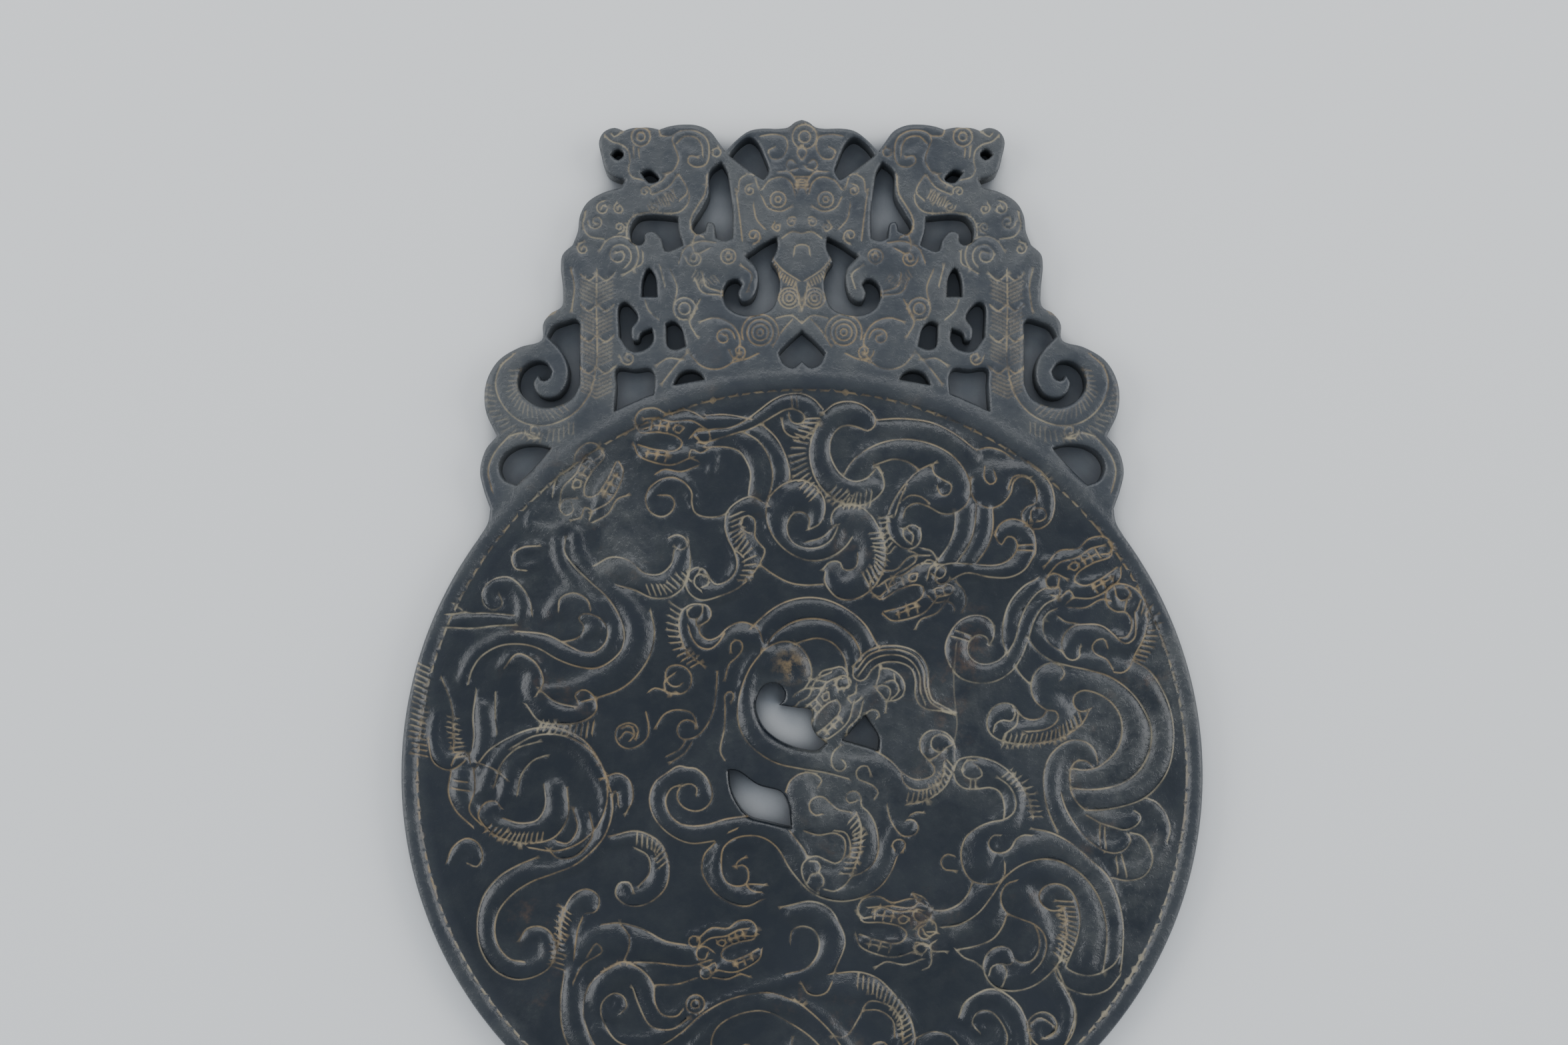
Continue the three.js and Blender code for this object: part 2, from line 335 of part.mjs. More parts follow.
// One closed outline from its smooth runs, with points about a step apart.
function outline(runs) {
  return runs.flatMap((run) => {
    const curve = curveThrough(run);
    const pieces = Math.max(run.length > 2 ? 2 : 1, Math.round(curve.getLength() / OUTLINE_STEP));
    return curve.getSpacedPoints(pieces).slice(0, -1).map((p) => new THREE.Vector2(p.x, p.y));
  });
}

const mirrored = (points) => points.map((p) => new THREE.Vector2(-p.x, p.y)).reverse();

function prism(points, low, high) {
  const shape = new THREE.Shape(points);
  const geometry = new THREE.ExtrudeGeometry(shape, { depth: high - low, bevelEnabled: false });
  return toSolid(geometry.translate(0, 0, low));
}

// A length of body: a low section with sloping sides, swept along a smooth middle line whose
// half width changes from point to point, and standing higher where it is wider.
function strap(middle, ground, most) {
  const curve = curveThrough(middle);
  const steps = Math.max(2, Math.round(curve.getLength() / BODY_STEP));
  const corners = [[-STRAP_FOOT, -1], [STRAP_FOOT, -1], [STRAP_TOP, 1], [-STRAP_TOP, 1]];
  const section = new THREE.Shape(corners.map(([across, up]) => new THREE.Vector2(across, up)));
  const geometry = new THREE.ExtrudeGeometry(section, { depth: 1, steps, bevelEnabled: false });
  const place = geometry.attributes.position;
  for (let i = 0; i < place.count; i += 1) {
    const along = THREE.MathUtils.clamp(place.getZ(i), 0, 1);
    const at = along * (middle.length - 1);
    const from = Math.min(Math.floor(at), middle.length - 2);
    const half = THREE.MathUtils.lerp(middle[from][2], middle[from + 1][2], at - from);
    const point = curve.getPoint(along);
    const ahead = curve.getTangent(along);
    const across = place.getX(i) * half;
    const rise = most * Math.min(1, RISE_LEAST + RISE_PER_WIDTH * half);
    place.setXYZ(i, point.x - ahead.y * across, point.y + ahead.x * across,
      place.getY(i) > 0 ? ground + rise : ground - RELIEF_ROOT);
  }
  return toSolid(geometry);
}

function boss([x, y, radius], ground, rise) {
  const profile = [[0, -RELIEF_ROOT], [radius, -RELIEF_ROOT], [BOSS_TOP * radius, rise], [0, rise]];
  const dome = new THREE.LatheGeometry(profile.map(([r, z]) => new THREE.Vector2(r, z)), BOSS_SIDES);
  return toSolid(dome.rotateX(Math.PI / 2).translate(x, y, ground));
}

// The disc with its raised, rounded rim, turned about its own axis.
function disc() {
  const inner = DISC_RADIUS - RIM_WIDTH;
  const profile = [[0, 0], [DISC_RADIUS - EDGE, 0], [DISC_RADIUS, EDGE],
    [DISC_RADIUS, RIM_HEIGHT - 1.3 * EDGE],
    [DISC_RADIUS - 1.5 * EDGE, RIM_HEIGHT], [inner + RIM_ROUND, RIM_HEIGHT], [inner, FIELD_HEIGHT],
    [0, FIELD_HEIGHT]];
  const turned = new THREE.LatheGeometry(profile.map(([r, z]) => new THREE.Vector2(r, z)), DISC_SIDES);
  return toSolid(turned.rotateX(Math.PI / 2));
}

// The crest's plate runs down behind the rim, along a circle inside it.
function crestPlate() {
  const half = outline(CREST_EDGE);
  const inside = DISC_RADIUS - 2;
  const arc = new THREE.EllipseCurve(0, 0, inside, inside, CREST_FOOT, Math.PI - CREST_FOOT);
  return prism([...half, ...arc.getPoints(FOOT_SIDES), ...mirrored(half).slice(0, -1)], 0, CREST_HEIGHT);
}

// The rim's edge stands proud of the crest as a narrow collar.
function collar() {
  const end = Math.PI - COLLAR_REACH;
  const inside = DISC_RADIUS - 3;
  const outer = new THREE.EllipseCurve(0, 0, COLLAR_RADIUS, COLLAR_RADIUS, COLLAR_REACH, end);
  const inner = new THREE.EllipseCurve(0, 0, inside, inside, end, COLLAR_REACH, true);
  return prism([...outer.getPoints(COLLAR_SIDES), ...inner.getPoints(COLLAR_SIDES)], EDGE, RIM_HEIGHT);
}

function carve() {
  const through = [-1, RIM_HEIGHT + 3];   // a cut runs clear of both faces
  const crestCuts = Object.values(CREST_HOLES).flatMap((runs) => {
    const edge = outline(runs);
    return [prism(edge, ...through), prism(mirrored(edge), ...through)];
  });
  crestCuts.push(prism(outline(CENTRE_HOLE), ...through));
  const crestForms = [];
  for (const side of [1, -1]) {
    for (const row of Object.values(CREST_STRAPS)) {
      crestForms.push(strap(row.map(([x, y, half]) => [side * x, y, half]), CREST_HEIGHT, CREST_RELIEF));
    }
    for (const [x, y, radius] of CREST_BOSSES) {
      crestForms.push(boss([side * x, y, radius], CREST_HEIGHT, CREST_RELIEF));
    }
  }
  const crest = wasm.Manifold.union([crestPlate(), ...crestForms]).subtract(wasm.Manifold.union(crestCuts));
  const dragons = Object.values(DRAGONS).flatMap((parts) => Object.values(parts)
    .map((row) => strap(row, FIELD_HEIGHT, RELIEF_MAX)));
  const round = wasm.Manifold.union([disc(), ...dragons])
    .subtract(wasm.Manifold.union(DISC_HOLES.map((runs) => prism(outline(runs), ...through))));
  return wasm.Manifold.union([round, crest, collar()]);
}

const solid = carve();
const jade = new THREE.Mesh(toGeometry(solid), new THREE.MeshStandardMaterial(STONE));
jade.name = 'jade_carving';
jade.position.y = -(CREST_TOP - DISC_RADIUS) / 2;   // the origin is under the middle of the whole

const group = new THREE.Group();
group.add(jade);
export default group;
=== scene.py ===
"""A dark jade disc carved with ten coiling dragons under an openwork crest, lying on a pale floor.

One piece, jade_carving, stands for the CAD solid of that name. Its outline, openings and straps are
the solid's own, in millimetres about the disc's centre with +Y to the crest. What is added is the
rounding of every arris, the domed bodies, the cut lines with their pale filling, and the stone.

The rows of points are long because the carving hardly repeats: only the crest's two halves mirror
each other, and only the heads, scrolls, rings and fringes come from a rule.
"""
import math

import bmesh
import bpy
import numpy as np
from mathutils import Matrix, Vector, geometry, kdtree


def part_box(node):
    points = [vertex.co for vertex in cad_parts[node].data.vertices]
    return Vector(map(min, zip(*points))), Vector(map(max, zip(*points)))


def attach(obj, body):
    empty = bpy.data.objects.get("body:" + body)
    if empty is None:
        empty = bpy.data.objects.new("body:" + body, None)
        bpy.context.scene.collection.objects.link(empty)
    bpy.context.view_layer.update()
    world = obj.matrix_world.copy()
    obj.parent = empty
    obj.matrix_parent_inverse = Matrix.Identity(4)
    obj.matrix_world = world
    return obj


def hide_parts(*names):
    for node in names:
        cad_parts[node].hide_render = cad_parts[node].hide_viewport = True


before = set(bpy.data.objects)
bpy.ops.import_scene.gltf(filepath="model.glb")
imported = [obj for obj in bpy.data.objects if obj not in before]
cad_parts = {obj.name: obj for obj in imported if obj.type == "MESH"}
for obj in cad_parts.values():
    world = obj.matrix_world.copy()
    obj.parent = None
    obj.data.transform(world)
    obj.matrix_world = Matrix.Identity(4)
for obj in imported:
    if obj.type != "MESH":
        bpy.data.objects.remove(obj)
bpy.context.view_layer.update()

LOW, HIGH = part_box("jade_carving")
MM = 0.001

# The stone, in millimetres and above its back
DISC_RADIUS = (HIGH[0] - LOW[0]) / 2 / MM
CENTRE_Y = LOW[1] / MM + DISC_RADIUS        # the disc's centre in the frame
RIM_HEIGHT = 7.0
RIM_WIDTH = 4.2
RIM_PAST_EDGE = 0.6                         # the rim's half round is cut off this far inside its foot
DASHES_AT = 95.9                            # radius of the dashed line inside the rim
FIELD_HEIGHT = 5.6
CREST_HEIGHT = 6.5
CREST_FOOT = math.atan2(59.8, 80.2)         # where the crest's edge leaves the disc
COLLAR_RADIUS = 101.6                       # the rim's outer foot where it runs under the crest
COLLAR_REACH = math.radians(47)             # where that stops, up from the disc's own X
COLLAR_OVERLAP = 0.06                       # and how many radians it runs on below
ARRIS = 1.0                                 # radius of the rounded edges in front
BACK_ARRIS = 0.8

# Relief
RELIEF_MAX = 1.2                            # the most that a body rises over the field
CREST_RELIEF = 0.5
STRAP_SPREAD = 1.1                          # a dome's half width, to the one in its row
RISE_LEAST = 0.35                           # a dome's rise, as a share of the most,
RISE_PER_WIDTH = 0.22                       # and what each millimetre of half width adds
DOME_POWER = 0.9                            # 1 is a parabola, less is fuller
STRAP_STEP = 0.6

# Cut lines
LINE_DEPTH = 0.24
LINE_HALF = 0.32                            # half the width of a cut line
FINE_SHARE = 0.28                           # a fine line's depth and filling, as a share of a full one's
FILL_SPREAD = 1.3                           # how much wider than its depth the filling spreads

# Spacing of the mesh's points
EDGE_STEP = 0.8
LINE_STEP = 0.85
FRONT_STEP = 1.15
BACK_STEP = 3.2
TRACE_STEP = 0.2                            # of the traces that distances are measured from
FRONT_EDGE_ROWS = (0.22, 0.55, 1.0)         # rows of points beside an edge, by their distance from it
BACK_EDGE_ROWS = (0.3, 0.8)
WALL_BANDS = 3

# Camera, over the crest's face, and floor
CAMERA_HEIGHT = 450
CAMERA_X = -4.5
CAMERA_Y = 22
CAMERA_TILT = math.radians(2)
FILM_WIDTH = 36
FOCAL_LENGTH = 41.4
LENS_SHIFT = 0.063                          # as a share of the film's width
FLOOR_HALF = 3000
FLOOR_GAP = 0.2                             # keeps the floor and the stone's back from one plane
# how far round the stone the floor's painted shade reaches, in mm
FLOOR_SHADE_REACH = 12

# Lights: place and size in metres, and watts
LIGHTS = {
    "window": ((0, 1.9, 1.35), (3.0, 1.3), 24),
    "left": ((-1.9, 0.2, 0.95), (2.0, 1.6), 25),
    "right": ((1.9, 0.2, 0.95), (2.0, 1.6), 25),
}
SKY = (0.760, 0.860, 1.000, 1)
SKY_STRENGTH = 0.56

# Colours
STONE_DARK = (0.005, 0.008, 0.013, 1)
STONE_GREY = (0.012, 0.016, 0.022, 1)
STONE_GREEN = (0.021, 0.026, 0.025, 1)
# the crest's grey: partly its duller stone, partly a painted sheen of the light falling from above it
CREST_GREY_AND_SHEEN = (0.046, 0.052, 0.060, 1)
RUST = (0.115, 0.062, 0.030, 1)
DUST = (0.130, 0.132, 0.120, 1)
FILL_OCHRE = (0.290, 0.200, 0.090, 1)
FILL_PALE = (0.330, 0.280, 0.180, 1)
FLOOR_GREY = (0.930, 0.925, 0.900, 1)
# the floor's colour where its shade is painted, in the openings and at the stone's foot
FLOOR_SHADE = (0.240, 0.250, 0.265, 1)
BLACK = (0, 0, 0, 1)
WHITE = (1, 1, 1, 1)

# The stone's surface
WEAR_PLACE = (-3.0, CENTRE_Y + 26.5, 6.0)   # a patch where the polish is gone and the stone is ochre
STONE_IOR = 1.62
POLISH = 0.25                               # roughness where nothing has dulled it
GRAIN_HEIGHT = 0.0003                       # in metres

# ---- curves -------------------------------------------------------------------------------------

def smooth(points, step):
    """A smooth curve through the points (centripetal Catmull-Rom), with its own points a step apart."""
    rows = np.array(points, float)
    if len(rows) > 2:
        rows = np.vstack([2 * rows[0] - rows[1], rows, 2 * rows[-1] - rows[-2]])
        gaps = np.sqrt(np.maximum(np.hypot(*np.diff(rows[:, :2], axis=0).T), 1e-6))
        t = np.linspace(0, 1, 14, endpoint=False)[:, None]
        parts = []
        for i in range(1, len(rows) - 2):
            a, b, c, d = rows[i - 1:i + 3]
            before, here, after = gaps[i - 1:i + 2]
            leave = here * ((b - a) / before - (c - a) / (before + here)) + (c - b)
            arrive = here * ((d - c) / after - (d - b) / (here + after)) + (c - b)
            parts.append((2 * t**3 - 3 * t**2 + 1) * b + (t**3 - 2 * t**2 + t) * leave
                         + (3 * t**2 - 2 * t**3) * c + (t**3 - t**2) * arrive)
        rows = np.vstack(parts + [rows[-2:-1]])
    along = np.concatenate([[0], np.cumsum(np.hypot(*np.diff(rows[:, :2], axis=0).T))])
    count = max(1, round(along[-1] / step))
    at = np.linspace(0, along[-1], count + 1)
    return np.column_stack([np.interp(at, along, column) for column in rows.T])


def closed(runs, step):
    return np.vstack([smooth(run, step)[:-1] for run in runs])


def mirrored(points):
    return np.array(points, float)[::-1] * [-1, 1]


def flip(row):
    """The same row for x < 0."""
    return [(-point[0], *point[1:]) for point in row]


def arc(x, y, radius, start=0, end=360):
    """An arc as a row of points, with its angles in degrees."""
    count = max(4, round(abs(end - start) / 360 * 14))
    angles = np.radians(np.linspace(start, end, count + 1))
    return [(x + radius * math.cos(a), y + radius * math.sin(a)) for a in angles]


def ticks(row, length, lean=0, gap=1.35):
    """Short parallel cuts beside a line, leaning along it; a negative length puts them on its right."""
    line = smooth(row, gap)
    ahead = np.gradient(line, axis=0)
    ahead /= np.hypot(*ahead.T)[:, None]
    side = np.column_stack([-ahead[:, 1], ahead[:, 0]])
    ends = line + length * side + lean * ahead
    return [[tuple(a), tuple(b)] for a, b in zip(line, ends)]


# ---- forms: the CAD solid's own ------------------------------------------------------------------

# The crest's outer edge for x > 0, from its tip to the disc. A corner lies between two runs.
CREST_EDGE = [
    [(0, 164.6), (1.8, 163.9), (3.4, 162.6), (5.4, 162.2), (10.5, 162.3), (13.4, 161.6), (16.4, 159.4),
     (19.3, 156.5)],
    [(19.3, 156.5), (21, 158.8), (23.2, 161.6), (26.2, 163), (29.8, 163.3), (33.4, 162.9), (36, 162.1)],
    [(36, 162.1), (39.6, 162.6), (42.6, 162.4), (45, 161.8)],
    [(45, 161.8), (47.4, 162.5), (50, 161.4), (51.2, 159), (50.5, 155), (49.4, 151.4), (47.2, 149.9),
     (44.6, 149.2)],
    [(44.6, 149.2), (45.5, 147.3)],
    [(45.5, 147.3), (50.2, 145.9), (54, 143.5), (55.9, 140.2), (56.5, 136), (57.8, 132.7)],
    [(57.8, 132.7), (60.3, 130.2), (60.7, 127), (60.1, 121), (60.4, 117), (63.4, 115.1), (65.1, 112.6),
     (65.4, 108.6), (71, 106.7), (76.4, 103.2), (79.4, 97.4), (79.4, 90.6), (76.6, 84.3)],
    [(76.6, 84.3), (79.4, 80.9), (80.8, 75.6), (79.9, 70.8), (78.2, 66)],
    [(78.2, 66), (78.6, 62.6), (80.2, 59.8)],
]

# The openings of the crest for x > 0, one on its axis, and the three of the disc.
CREST_HOLES = [
    [
        [(63, 81.2), (66.6, 82.1), (71.2, 81.7), (74.8, 79.3), (76, 76.2), (74.6, 73.2), (71.6, 72)],
        [(71.6, 72), (67.6, 75.8), (63, 81.2)],
    ],
    [
        [(64, 109.5), (62.6, 111.9), (59.6, 113.2), (56.8, 113.7), (55.9, 112.5)],
        [(55.9, 112.5), (55.9, 97.4)],
        [(55.9, 97.4), (57.6, 94), (61.2, 91.9), (65.4, 91.6), (69.2, 93.5), (71.4, 96.8), (70.6, 100.8),
         (67.6, 103), (64.6, 102.8), (62.9, 100.5)],
        [(62.9, 100.5), (63.7, 98.7), (65.3, 98.3), (66.3, 99.8)],
        [(66.3, 99.8), (67.5, 97.8), (66.6, 95), (64.2, 93.8), (61.2, 94.5), (59, 97.6), (58.7, 101.6),
         (60.2, 105.4), (64, 109.5)],
    ],
    [
        [(43, 133.4), (43.2, 136.8), (41.2, 139.7), (37.4, 140.2), (31.3, 139.6)],
        [(31.3, 139.6), (31.1, 136), (30, 132.6)],
        [(30, 132.6), (34.3, 131.1), (35.4, 134.2), (37.6, 136.2), (39.7, 135.5), (39.8, 133.4),
         (41, 132.6), (43, 133.4)],
    ],
    [
        [(40.3, 119.5), (40, 124), (38.6, 126.8), (36.9, 124.4), (36.5, 119.5)],
        [(36.5, 119.5), (40.3, 119.5)],
    ],
    [
        [(45.9, 109.4), (45.9, 117.4), (44.4, 118.1), (41.3, 114.2), (42.9, 111.4), (42.5, 108.4),
         (41.2, 108.4), (40.4, 110.3), (37.8, 111.4)],
        [(37.8, 111.4), (37.4, 108.4), (39.6, 106), (43, 105.8), (45.9, 109.4)],
    ],
    [
        [(34.2, 112.6), (33.6, 106.7), (31.6, 106.1), (29.3, 107)],
        [(29.3, 107), (30.4, 111.6), (32.4, 113.3), (34.2, 112.6)],
    ],
    [
        [(47.1, 90.6), (46.7, 97), (46.6, 101.2), (42, 101), (38.2, 101.2), (37.1, 99.4), (37.3, 95)],
        [(37.3, 95), (42.4, 92.8), (47.1, 90.6)],
    ],
    [
        [(32.3, 97.2), (30.6, 100), (28.2, 100.8), (25.8, 100.2), (24.6, 98.6)],
        [(24.6, 98.6), (28.6, 97.8), (32.3, 97.2)],
    ],
    [
        [(20.4, 153.6), (23.1, 151.2), (23.4, 145.2), (25.4, 141.2), (27.6, 137.2), (26.4, 135.4),
         (24.4, 136.2)],
        [(24.4, 136.2), (23.8, 138.4), (22.2, 138.2), (21.6, 134.4)],
        [(21.6, 134.4), (19.6, 133.7), (17.6, 134.3)],
        [(17.6, 134.3), (17.5, 140.4), (18.2, 147), (19, 151.4), (20.4, 153.6)],
    ],
    [
        [(18.3, 155.4), (15.9, 158.4), (13.2, 160), (11.2, 158.6), (9.6, 155.2), (8.4, 151.3),
         (9.7, 149.3)],
        [(9.7, 149.3), (13.6, 151.7), (18.3, 155.4)],
    ],
    [
        [(14.2, 129.8), (11.4, 131.8), (8.6, 133.6), (6.4, 134.6)],
        [(6.4, 134.6), (6.2, 131.8), (7.9, 128.4)],
        [(7.9, 128.4), (6, 125.4), (5.8, 121), (7.5, 116.6), (11.4, 114.8), (15.6, 115), (18.8, 117),
         (19.8, 120.4), (18.6, 123.2), (16.4, 123.9), (15.2, 122.6)],
        [(15.2, 122.6), (16.1, 120.2), (15, 118.2), (12.6, 119), (11.1, 122.4), (11.3, 126.4),
         (14.2, 129.8)],
    ],
    [
        [(48.2, 155.6), (46.6, 157), (44.9, 155.7), (46.4, 154.2), (48.2, 155.6)],
    ],
    [
        [(40.6, 151), (38.4, 151.7), (35.9, 149.2), (38.4, 148.4), (40.6, 151)],
    ],
]
CENTRE_HOLE = [
    [(-5.8, 105.2), (-3.2, 108), (0, 110.8)],
    [(0, 110.8), (3.2, 108), (5.8, 105.2)],
    [(5.8, 105.2), (4.6, 102.6), (2, 101.6), (0, 103.3)],
    [(0, 103.3), (-2, 101.6), (-4.6, 102.6), (-5.8, 105.2)],
]
DISC_HOLES = [
    [
        [(-4.3, 20), (-6, 22), (-9.2, 21.8), (-11.5, 17.6), (-10, 12), (-6, 8.2), (0, 5.8), (4, 5.5),
         (6, 7.2)],
        [(6, 7.2), (3.4, 9.6), (2.3, 12.2), (2.4, 15.4), (-2, 16.2), (-5.8, 16.8)],
        [(-5.8, 16.8), (-4.4, 18.2), (-4.3, 20)],
    ],
    [
        [(15.8, 14.2), (13.4, 11.4), (10.2, 8)],
        [(10.2, 8), (14, 7), (19, 5.4)],
        [(19, 5.4), (19.2, 8.6), (15.8, 14.2)],
    ],
    [
        [(-18.4, 0.6), (-16, 0.2), (-11, -3.2), (-5.2, -5), (-3.7, -7.6), (-2.7, -13.8)],
        [(-2.7, -13.8), (-8.4, -12.4), (-13.5, -10.8), (-17.4, -5.2), (-18.4, 0.6)],
    ],
]

